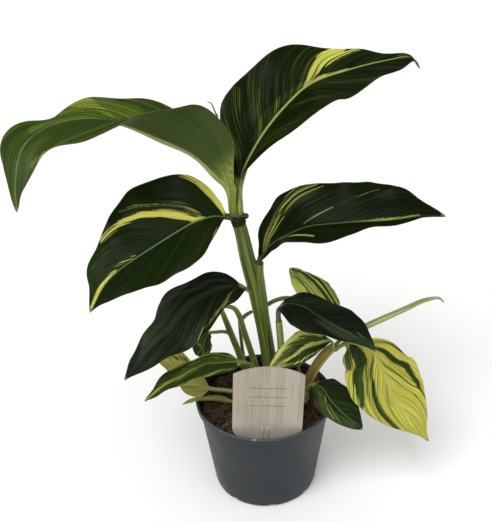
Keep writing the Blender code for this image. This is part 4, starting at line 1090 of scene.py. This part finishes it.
def make_stems():
    """Main stem with the sheath of the right middle leaf joined to it, and the side stems."""
    main = ring_tube("main_stem_fine", MAIN_STEM, 80, 150, main_shape, 1.0)
    join(main, ring_tube("sheath_part", SHEATH, 48, 60, side_shape, 2.0))
    green = stem_material("stem_main", "#44541e", "#5b6d28", "#7b8640", spots=STEM_SPOTS)
    finish_piece(main, "stem", ["main_stem"], green)
    pale = stem_material("stem_pale", "#5c6e30", "#828e4a", "#a9ad70", "#7c6c40")
    pink = stem_material("stem_shoot", "#7a6d2c", "#9c8a46", "#c2b270", "#9c7854")
    for seed, (name, rows) in enumerate(SIDE_STEMS.items()):
        item = ring_tube(name + "_fine", rows, 36, 70, side_shape, 3.0 + seed)
        if name == "stem_middle":
            join(item, ring_tube("fork_part", MIDDLE_FORK, 24, 24, side_shape, 9.0))
        slot, material = ("shoot", pink) if name == "shoot_pink" else ("stem", pale)
        finish_piece(item, slot, [name], material)


def make_dry_parts():
    """Dry leaf tip at the top, and two dry flakes and a pale stub at the foot of the shoot."""
    dry = stem_material("stem_dry", "#38332a", "#565044", "#706858")
    flake = stem_material("stem_flake", "#4c3424", "#74543c", "#9c8264")
    stub = stem_material("stem_stub", "#9a9860", "#c2bf8e", "#dcd8b8")
    parts = (("dry_tip", DRY_TIP, side_shape, dry, "leaf_dark"),
             ("dry_flake", DRY_FLAKE, flake_shape, flake, "shoot"),
             ("dry_root", DRY_ROOT, flake_shape, flake, "shoot"),
             ("pale_stub", PALE_STUB, side_shape, stub, "shoot"))
    for seed, (name, rows, shape, material, slot) in enumerate(parts):
        finish_piece(ring_tube(name, rows, 24, 30, shape, 12.0 + seed), slot, [], material)


def ligule_material():
    """Dry papery brown with long fibres, darkened to near black with painted shade."""
    shader = Shader("dry_brown_and_shade", 0.7, 0.08)
    grain = shader.attribute("veins").scaled((0.25, 1.4, 1.0)).noise(detail=4.0)
    # Near-black brown: the dry collar's colour deepened with painted shade
    shader.base(grain.step(0.35, 0.7), "#0e0c05", "#3c351a")
    return shader.finish(shader.bump(grain, 0.5, 0.7))


def make_ligule():
    """Dry brown collar with a ragged top, as a thin closed band round the stem."""
    foot, top = np.array(LIGULE_FOOT), np.array(LIGULE_TOP)
    axis = unit(top - foot)
    across = unit(np.array((1.0, 0, 0)) - axis * axis[0])
    angles = FULL_TURN * np.arange(LIGULE_SIDES) / LIGULE_SIDES
    outward = ring(angles, across, np.cross(axis, across))
    height = np.linalg.norm(top - foot) * (1 + waves_round(angles, 1, LIGULE_TEETH))
    points, veins = [], []
    for inset in (0.0, LIGULE_THICK):
        for level in range(LIGULE_LEVELS + 1):
            share = level / LIGULE_LEVELS
            far = height * share
            folds = waves_round(angles, share, LIGULE_FOLDS)
            radius = LIGULE_RADIUS + folds + LIGULE_FLARE * share ** 2 - inset
            points.append(foot + axis * far[:, None] + outward * radius[:, None])
            veins.append(np.stack([far, radius * np.cos(angles), radius * np.sin(angles)], 1))
    rows = LIGULE_LEVELS + 1
    start = rows * LIGULE_SIDES
    row = np.append(np.arange(LIGULE_SIDES), 0)
    faces = np.concatenate([grid_faces(rows, LIGULE_SIDES, closed=True),
                            grid_faces(rows, LIGULE_SIDES, start, closed=True, flip=True),
                            edge_faces(row[::-1], start), edge_faces(row + start - LIGULE_SIDES, start)])
    item = make_mesh_object("ligule_fine", np.concatenate(points), faces, sharp=60,
                            veins=np.concatenate(veins))
    finish_piece(item, "ligule", ["ligule"], ligule_material())


def make_clasp():
    """Thin green edge of the left middle leaf's stalk, clasped round the stem and curled at its end."""
    x, y, z = CLASP_MIDDLE
    rows = []
    for k in range(CLASP_STEPS + 1):
        angle = math.radians(CLASP_START + CLASP_SWEEP * k / CLASP_STEPS)
        rows.append((x + CLASP_RADIUS * math.cos(angle), y + CLASP_RADIUS * math.sin(angle),
                     z - CLASP_RISE * math.sin(angle), CLASP_THICK))
    x, y, z = rows[-1][:3]
    for k in range(1, CURL_STEPS + 1):
        angle = math.radians(CURL_START - CURL_TURN * k)
        reach = CURL_REACH * (1 - CURL_CLOSE * k)
        rows.append((x + CURL_SHIFT + reach * math.cos(angle), y - CURL_BACK * k,
                     z + reach * math.sin(angle), CURL_THICK - CURL_THIN * k))
    item = ring_tube("clasp", rows, 20, 120, side_shape, 12.0)
    finish_piece(item, "leaf_dark", [], stem_material("clasp_edge", "#20270f", "#3f4c24", "#7b8556"))


def make_seam():
    """Thin reddish dry skin in the fold between the stalks of the two top leaves."""
    item = ring_tube("stalk_seam", STALK_SEAM, 16, 40, side_shape, 13.0)
    finish_piece(item, "stem", [], stem_material("seam_skin", "#5c4426", "#7c5c36", "#a08a56"))


# Pot and soil

def lathe(name, profile, sides):
    """Turned closed shape from a profile of (radius, height) that starts and ends on the axis."""
    angles = [FULL_TURN * k / sides for k in range(sides)]
    middle = [(radius * math.cos(a), radius * math.sin(a), height)
              for radius, height in profile[1:-1] for a in angles]
    points = [(0, 0, profile[0][1])] + middle + [(0, 0, profile[-1][1])]
    after = [(k + 1) % sides for k in range(sides)]
    last = len(points) - 1
    low_fan = [(0, 1 + n, 1 + k) for k, n in enumerate(after)]
    top_fan = [(last - sides + k, last - sides + n, last) for k, n in enumerate(after)]
    sheet = grid_faces(len(profile) - 2, sides, 1, closed=True).tolist()
    return make_mesh_object(name, points, low_fan + sheet + top_fan, sharp=35)


def arc(centre, radius, start, end, steps):
    """Places on an arc in the profile's plane, angles in degrees."""
    angles = np.radians(np.linspace(start, end, steps + 1))
    return [(centre[0] + radius * math.cos(a), centre[1] + radius * math.sin(a)) for a in angles]


def pot_material():
    """Satin slate-grey moulded plastic, with a painted shadow line below its lip and a painted highlight
    with glints along its edge.
    """
    shader = Shader("pot_plastic", 0.5, 0.4)
    place = shader.position()
    height = place.part(2)
    clouds = place.noise(22.0, 4.0)
    shader.base(clouds.step(0.3, 0.7), "#171d22", "#20272d")
    # Painted highlight along the lip's top edge, with painted glints in it
    lip_glint = height.step(GLINT_START * MM, GLINT_FULL * MM) * clouds.step(0.35, 0.6, 0.3, 0.8)
    shader.paint(lip_glint, "#454b4e")
    shader.paint(place.noise(260.0, 3.0).step(0.60, 0.68) * lip_glint, "#7c8385")
    # Painted shadow under the lip
    shader.paint(abs(height - LIP_SHADOW_LINE * MM).step(1.2 * MM, 0.5 * MM, 0.0, 0.8), "#0c0d0e")
    shader.set("Roughness", clouds.step(0.3, 0.7, 0.42, 0.58))
    return shader.finish(shader.bump(place.noise(900.0), 0.06, 0.35))


def make_pot():
    """Nursery pot: tapered wall, turned-out lip, rounded foot and drain slots at the foot."""
    foot = arc((BASE_RADIUS - FOOT_ROUND, FOOT_ROUND), FOOT_ROUND, -90, 0, 8)
    wall = [(BASE_RADIUS + BODY_SLOPE * z, z) for z in np.linspace(FOOT_ROUND + 2, SHOULDER - 1.2, 12)]
    corner = RIM_RADIUS - LIP_INSET
    lip = [(BODY_TOP_RADIUS, SHOULDER - 0.5), (BODY_TOP_RADIUS + 0.5, SHOULDER), (corner, SHOULDER)]
    lip += arc((corner, SHOULDER + LIP_CORNER), LIP_CORNER, -90, 0, 3) + [(RIM_RADIUS - 0.4, SHOULDER + 3)]
    lip += arc((RIM_RADIUS - LIP_ROLL, POT_HEIGHT - LIP_ROLL), LIP_ROLL, 0, 150, 10)
    inner_base = BASE_RADIUS - WALL + BODY_SLOPE * WALL
    inner = [(RIM_RADIUS - 2.6, POT_HEIGHT - 1.6), (BODY_TOP_RADIUS - WALL, SHOULDER - 2),
             (inner_base + 1, 3 * WALL), (inner_base, 2 * WALL)]
    pot = lathe("pot_fine", [(0, 0)] + foot + wall + lip + inner + [(0, WALL)], POT_SIDES)
    for k in range(DRAIN_SLOTS):
        combine(pot, drain_cutter(math.radians(DRAIN_TURN) + FULL_TURN * k / DRAIN_SLOTS), "DIFFERENCE")
    finish_piece(pot, "pot", ["pot"], pot_material())


def make_block(name, xs, ys, zs, turned=Matrix.Identity(3)):
    """A block between two places on each axis, turned about the origin."""
    around = ((0, 0), (1, 0), (1, 1), (0, 1))
    corners = [Vector((xs[i], ys[j], z)) for z in zs for i, j in around]
    faces = [(3, 2, 1, 0), (4, 5, 6, 7)] + [(k, (k + 1) % 4, (k + 1) % 4 + 4, k + 4) for k in range(4)]
    return make_mesh_object(name, [turned @ corner for corner in corners], faces)


def drain_cutter(angle):
    """Small block that notches the foot of the pot."""
    middle, half = BASE_RADIUS - 3.0, DRAIN_WIDTH / 2
    return make_block("drain_cutter", (middle - DRAIN_DEPTH, middle + DRAIN_DEPTH), (-half, half),
                      (-1.0, DRAIN_HEIGHT), Matrix.Rotation(angle, 3, "Z"))


def soil_top(x, y):
    """Lumpy top of the soil: mounds, clods and grains, lower just behind the front rim."""
    mounds, clods, grains = [height * wander(x, y, length, seed) for height, length, seed in SOIL_LUMPS]
    behind_rim = FRONT_DIP * smooth(-y, DIP_START, DIP_FULL)
    return SOIL_LEVEL + mounds + np.abs(clods) + grains - SOIL_SINK - behind_rim


def soil_material():
    """Dark potting mix with paler and darker grains."""
    shader = Shader("potting_mix", 0.9, 0.2)
    place = shader.position()
    fine = place.noise(700.0, 4.0)
    shader.base(place.noise(120.0, 3.0).step(0.35, 0.65), "#30251a", "#5b4934")
    shader.paint(fine.step(0.56, 0.70, 0.0, 0.7), "#5e4a36")
    shader.paint(fine.step(0.42, 0.34, 0.0, 0.8), "#120c08")
    return shader.finish(shader.bump(fine, 0.8, 0.8))


def make_soil(material):
    """Soil that fills the pot, as a closed lumpy body."""
    top_radius = BODY_TOP_RADIUS - WALL - (SHOULDER - SOIL_LEVEL) * BODY_SLOPE - SOIL_CLEAR
    low_radius = BASE_RADIUS - WALL - 0.9
    radius = np.append(top_radius * (np.arange(1, SOIL_RINGS + 1) / SOIL_RINGS), low_radius)[:, None]
    angle = (FULL_TURN * np.arange(SOIL_SIDES) / SOIL_SIDES)[None, :]
    x, y = radius * np.cos(angle), radius * np.sin(angle)
    z = soil_top(x, y)
    z[-1] = SOIL_FLOOR
    middle = (0, 0, soil_top(np.zeros(1), np.zeros(1))[0])
    points = np.concatenate([np.stack([x, y, z], -1).reshape(-1, 3), [middle]])
    faces = grid_faces(SOIL_RINGS + 1, SOIL_SIDES, closed=True, flip=True).tolist()
    faces += [(len(points) - 1, k, (k + 1) % SOIL_SIDES) for k in range(SOIL_SIDES)]
    faces.append(list(reversed(range(SOIL_RINGS * SOIL_SIDES, (SOIL_RINGS + 1) * SOIL_SIDES))))
    finish_piece(make_mesh_object("soil_fine", points, faces, sharp=80), "soil", ["soil"], material)


# A lump is eight corners and six face centres; each side is its centre and the ring of its corners.
CHUNK_SIDES = ((0, 1, 3, 2), (4, 6, 7, 5), (0, 4, 5, 1), (2, 3, 7, 6), (0, 2, 6, 4), (1, 5, 7, 3))
CHUNK_FACES = [(8 + side, corners[k], corners[(k + 1) % 4])
               for side, corners in enumerate(CHUNK_SIDES) for k in range(4)]


def chunk(draw, centre, size, stretch):
    """One rough lump: the corners of a block and its face centres pushed about at random."""
    corners = np.array([(x, y, z) for x in (-1, 1) for y in (-1, 1) for z in (-1, 1)], float)
    middles = np.array([(-1, 0, 0), (1, 0, 0), (0, -1, 0), (0, 1, 0), (0, 0, -1), (0, 0, 1)], float)
    pushed = 1 + draw.uniform(-CRUMB_ROUGH, CRUMB_ROUGH, (14, 1))
    shape = np.concatenate([corners * CRUMB_CORNER, middles * CRUMB_MIDDLE]) * pushed
    turn = np.linalg.qr(draw.normal(size=(3, 3)))[0]
    if np.linalg.det(turn) < 0:
        turn[:, 0] *= -1
    return centre + (shape * size * np.array(stretch)) @ turn.T


def clear_of_stems(x, y):
    """True where no stem or tag stands in the soil."""
    if abs(x - TAG_X) < TAG_WIDTH / 2 + 2 and abs(y - TAG_Y) < 3.0:
        return False
    feet = [MAIN_STEM[1]] + [rows[1] for rows in SIDE_STEMS.values()]
    return all(math.hypot(x - foot[0], y - foot[1]) > foot[3] + 1.0 for foot in feet)


def make_chunks(name, count, sizes, stretch, seed, material):
    """Loose bits that lie half sunk in the soil, as one piece."""
    draw = np.random.default_rng(seed)
    points, faces = [], []
    while len(points) < count:
        radius, angle = SCATTER_RADIUS * math.sqrt(draw.uniform(0, 1)), draw.uniform(0, FULL_TURN)
        x, y = radius * math.cos(angle), radius * math.sin(angle)
        size = draw.uniform(*sizes)
        if not clear_of_stems(x, y):
            continue
        z = float(soil_top(np.array([x]), np.array([y]))[0]) + CRUMB_RISE * size
        faces += [tuple(k + 14 * len(points) for k in face) for face in CHUNK_FACES]
        points.append(chunk(draw, np.array((x, y, z)), size, stretch))
    finish_piece(make_mesh_object(name, np.concatenate(points), faces, sharp=40), "soil", [], material)


def bark_material():
    """Reddish bark bits and pale fibres, one tone per patch."""
    shader = Shader("bark_bits", 0.8, 0.25)
    place = shader.position()
    grain = place.noise(1500.0, 3.0)
    shader.base(place.noise(160.0, 1.0).step(0.38, 0.62), "#2a1a11", "#54402f")
    shader.paint(grain.step(0.5, 0.75, 0.0, 0.5), "#77644c")
    return shader.finish(shader.bump(grain, 0.3, 0.6))


# Plant tag

def tag_outline():
    """Outline of the tag in x and z: arched top, rounded lower corners, pointed stake."""
    half, stake = TAG_WIDTH / 2, STAKE_WIDTH / 2
    rise = TAG_TOP - TAG_SHOULDER
    radius = (half * half + rise * rise) / (2 * rise)
    reach = math.asin(half / radius)
    arch = [(radius * math.sin(a), TAG_TOP - radius * (1 - math.cos(a)))
            for a in np.linspace(reach, -reach, 49)]
    corner = [(-half + TAG_CORNER * (1 - math.cos(a)), TAG_BOTTOM + TAG_CORNER * (1 - math.sin(a)))
              for a in np.linspace(0, math.pi / 2, 13)]
    left = corner + [(-stake, TAG_BOTTOM), (-stake, STAKE_TIP + 8), (0, STAKE_TIP)]
    return arch + left + [(-x, z) for x, z in reversed(left[:-1])]


def tag_material():
    """Thin plastic printed with pale weathered planks and three plain ruled lines, with painted light
    towards its foot.
    """
    shader = Shader("tag_print", 0.38, 0.4)
    place = shader.attribute("veins")
    x, z = place.part(0), place.part(2)
    planks = x / PLANK_WIDTH
    plank = planks.math("FLOOR")
    grain = plank_noise(shader, x * 1.6, z * 0.05, plank, 5.0)
    stain = plank_noise(shader, x * 0.12, z * 0.03, plank, 3.0)
    shader.base(shader.add("TexWhiteNoise", {"W": plank}, noise_dimensions="1D"), "#958c7d", "#a79d90")
    shader.paint(grain.step(0.42, 0.70, 0.0, 0.6), "#b6ae9f")
    shader.paint(grain.step(0.44, 0.30, 0.0, 0.5), "#786c5e")
    shader.paint(stain.step(0.52, 0.75, 0.0, 0.5), "#a28a7e")
    # Painted light that lifts the shade of the rim and soil at the tag's foot
    shader.paint(z.step(FOOT_LIGHT_START, FOOT_LIGHT_FULL, 0.0, 0.5), "#c6beb0")
    shader.paint(abs(planks.math("FRACT") - 0.5).step(0.465, 0.494, 0.0, 0.5), "#6a6052")
    shader.paint(ruled_lines(x, z), "#4a4238")
    return shader.finish(shader.bump(grain, 0.05, 0.3))


def plank_noise(shader, x, z, plank, detail):
    """Noise drawn out along the planks, different on each one."""
    return shader.add("CombineXYZ", {0: x, 1: z, 2: plank}).noise(1.0, detail, 0.6)


def ruled_lines(x, z):
    """Share of three plain level lines across the middle of the tag."""
    height = z - LINES_MIDDLE
    on_line = abs((height / LINE_GAP).math("FRACT") - 0.5).step(0.455, 0.475, 0.0, 0.75)
    beside = abs(x).step(LINE_HALF + 0.2, LINE_HALF - 0.2)
    return on_line * beside * abs(height).step(1.4 * LINE_GAP, 1.3 * LINE_GAP)


def make_tag():
    """Thin plastic tag that stands in the soil at the front, inside the rim."""
    outline = tag_outline()
    count = len(outline)
    foot = Vector((TAG_X, TAG_Y, TAG_BOTTOM))
    tilt = Matrix.Rotation(math.radians(TAG_TILT), 3, "Y")
    half = TAG_THICK / 2

    def placed(x, y, z):
        """A place on the upright tag, where the tilted tag has it."""
        return foot + tilt @ Vector((x, y, z - TAG_BOTTOM))

    upright = [(x, y, z) for y in (-half, half) for x, z in outline]
    faces = [tuple(range(count)), tuple(reversed(range(count, 2 * count)))]
    faces += [(k, k + count, (k + 1) % count + count, (k + 1) % count) for k in range(count)]
    points = [placed(*place) for place in upright]
    item = make_mesh_object("tag_fine", points, faces, sharp=40, veins=upright)
    material = tag_material()
    finish_piece(item, "tag", ["tag"], material)
    for k, x in enumerate(RIDGE_PLACES):
        rows = [(*placed(x, -half, z), radius) for z, radius in RIDGE_ROWS]
        finish_piece(ring_tube("tag_ridge_%d" % (k + 1), rows, 16, 24), "tag", [], material)


# Camera and surroundings

def make_camera():
    """Camera at the photograph's angle."""
    data = bpy.data.cameras.new("camera")
    data.sensor_width = SENSOR
    data.sensor_fit = "HORIZONTAL"
    data.lens = SENSOR * FOCAL_PIXELS / PHOTO_WIDTH
    camera = bpy.data.objects.new("camera", data)
    bpy.context.scene.collection.objects.link(camera)
    turned = (Matrix.Rotation(math.radians(-CAMERA_YAW), 4, "Z")
              @ Matrix.Rotation(math.radians(90 - CAMERA_PITCH), 4, "X")
              @ Matrix.Rotation(math.radians(CAMERA_ROLL), 4, "Z"))
    camera.matrix_world = Matrix.Translation(Vector(CAMERA_PLACE) * MM) @ turned
    bpy.context.scene.camera = camera


def make_stage():
    """Pale floor, an even pale world, a broad light from the upper left and a weak one from the right."""
    across = (-FLOOR_REACH, FLOOR_REACH)
    floor = make_block("floor", across, across, (-20, -0.05))
    shader = Shader("floor", 0.9, 0.0)
    shader.set("Base Color", FLOOR_COLOUR)
    floor.data.materials.append(shader.material)
    make_world()
    for name, sun in SUNS.items():
        add_sun(name, *sun)
    bpy.context.scene.view_settings.view_transform = "Standard"


def make_world():
    """Even pale surroundings, darker where a glossy face mirrors them."""
    world = bpy.data.worlds.new("studio")
    world.use_nodes = True
    tree = world.node_tree
    tree.nodes["Background"].inputs["Color"].default_value = (1.0, 1.0, 1.0, 1.0)
    path = tree.nodes.new("ShaderNodeLightPath")
    strength = tree.nodes.new("ShaderNodeMapRange")
    strength.inputs["To Min"].default_value = WORLD_LIGHT
    strength.inputs["To Max"].default_value = WORLD_MIRRORED
    tree.links.new(path.outputs["Is Glossy Ray"], strength.inputs["Value"])
    tree.links.new(strength.outputs[0], tree.nodes["Background"].inputs["Strength"])
    bpy.context.scene.world = world


def add_sun(name, strength, spread, source):
    """Soft distant light that shines from the direction given."""
    data = bpy.data.lights.new(name, "SUN")
    data.energy = strength
    data.angle = math.radians(spread)
    lamp = bpy.data.objects.new(name, data)
    lamp.rotation_euler = Vector(source).to_track_quat("Z", "Y").to_euler()
    bpy.context.scene.collection.objects.link(lamp)


make_camera()
make_stage()
make_pot()
mix_material = soil_material()
make_soil(mix_material)
make_chunks("soil_crumbs", *CRUMBS, mix_material)
make_chunks("soil_bark", *BARK_BITS, bark_material())
make_tag()
make_stems()
make_dry_parts()
make_ligule()
make_clasp()
make_seam()
make_leaves()
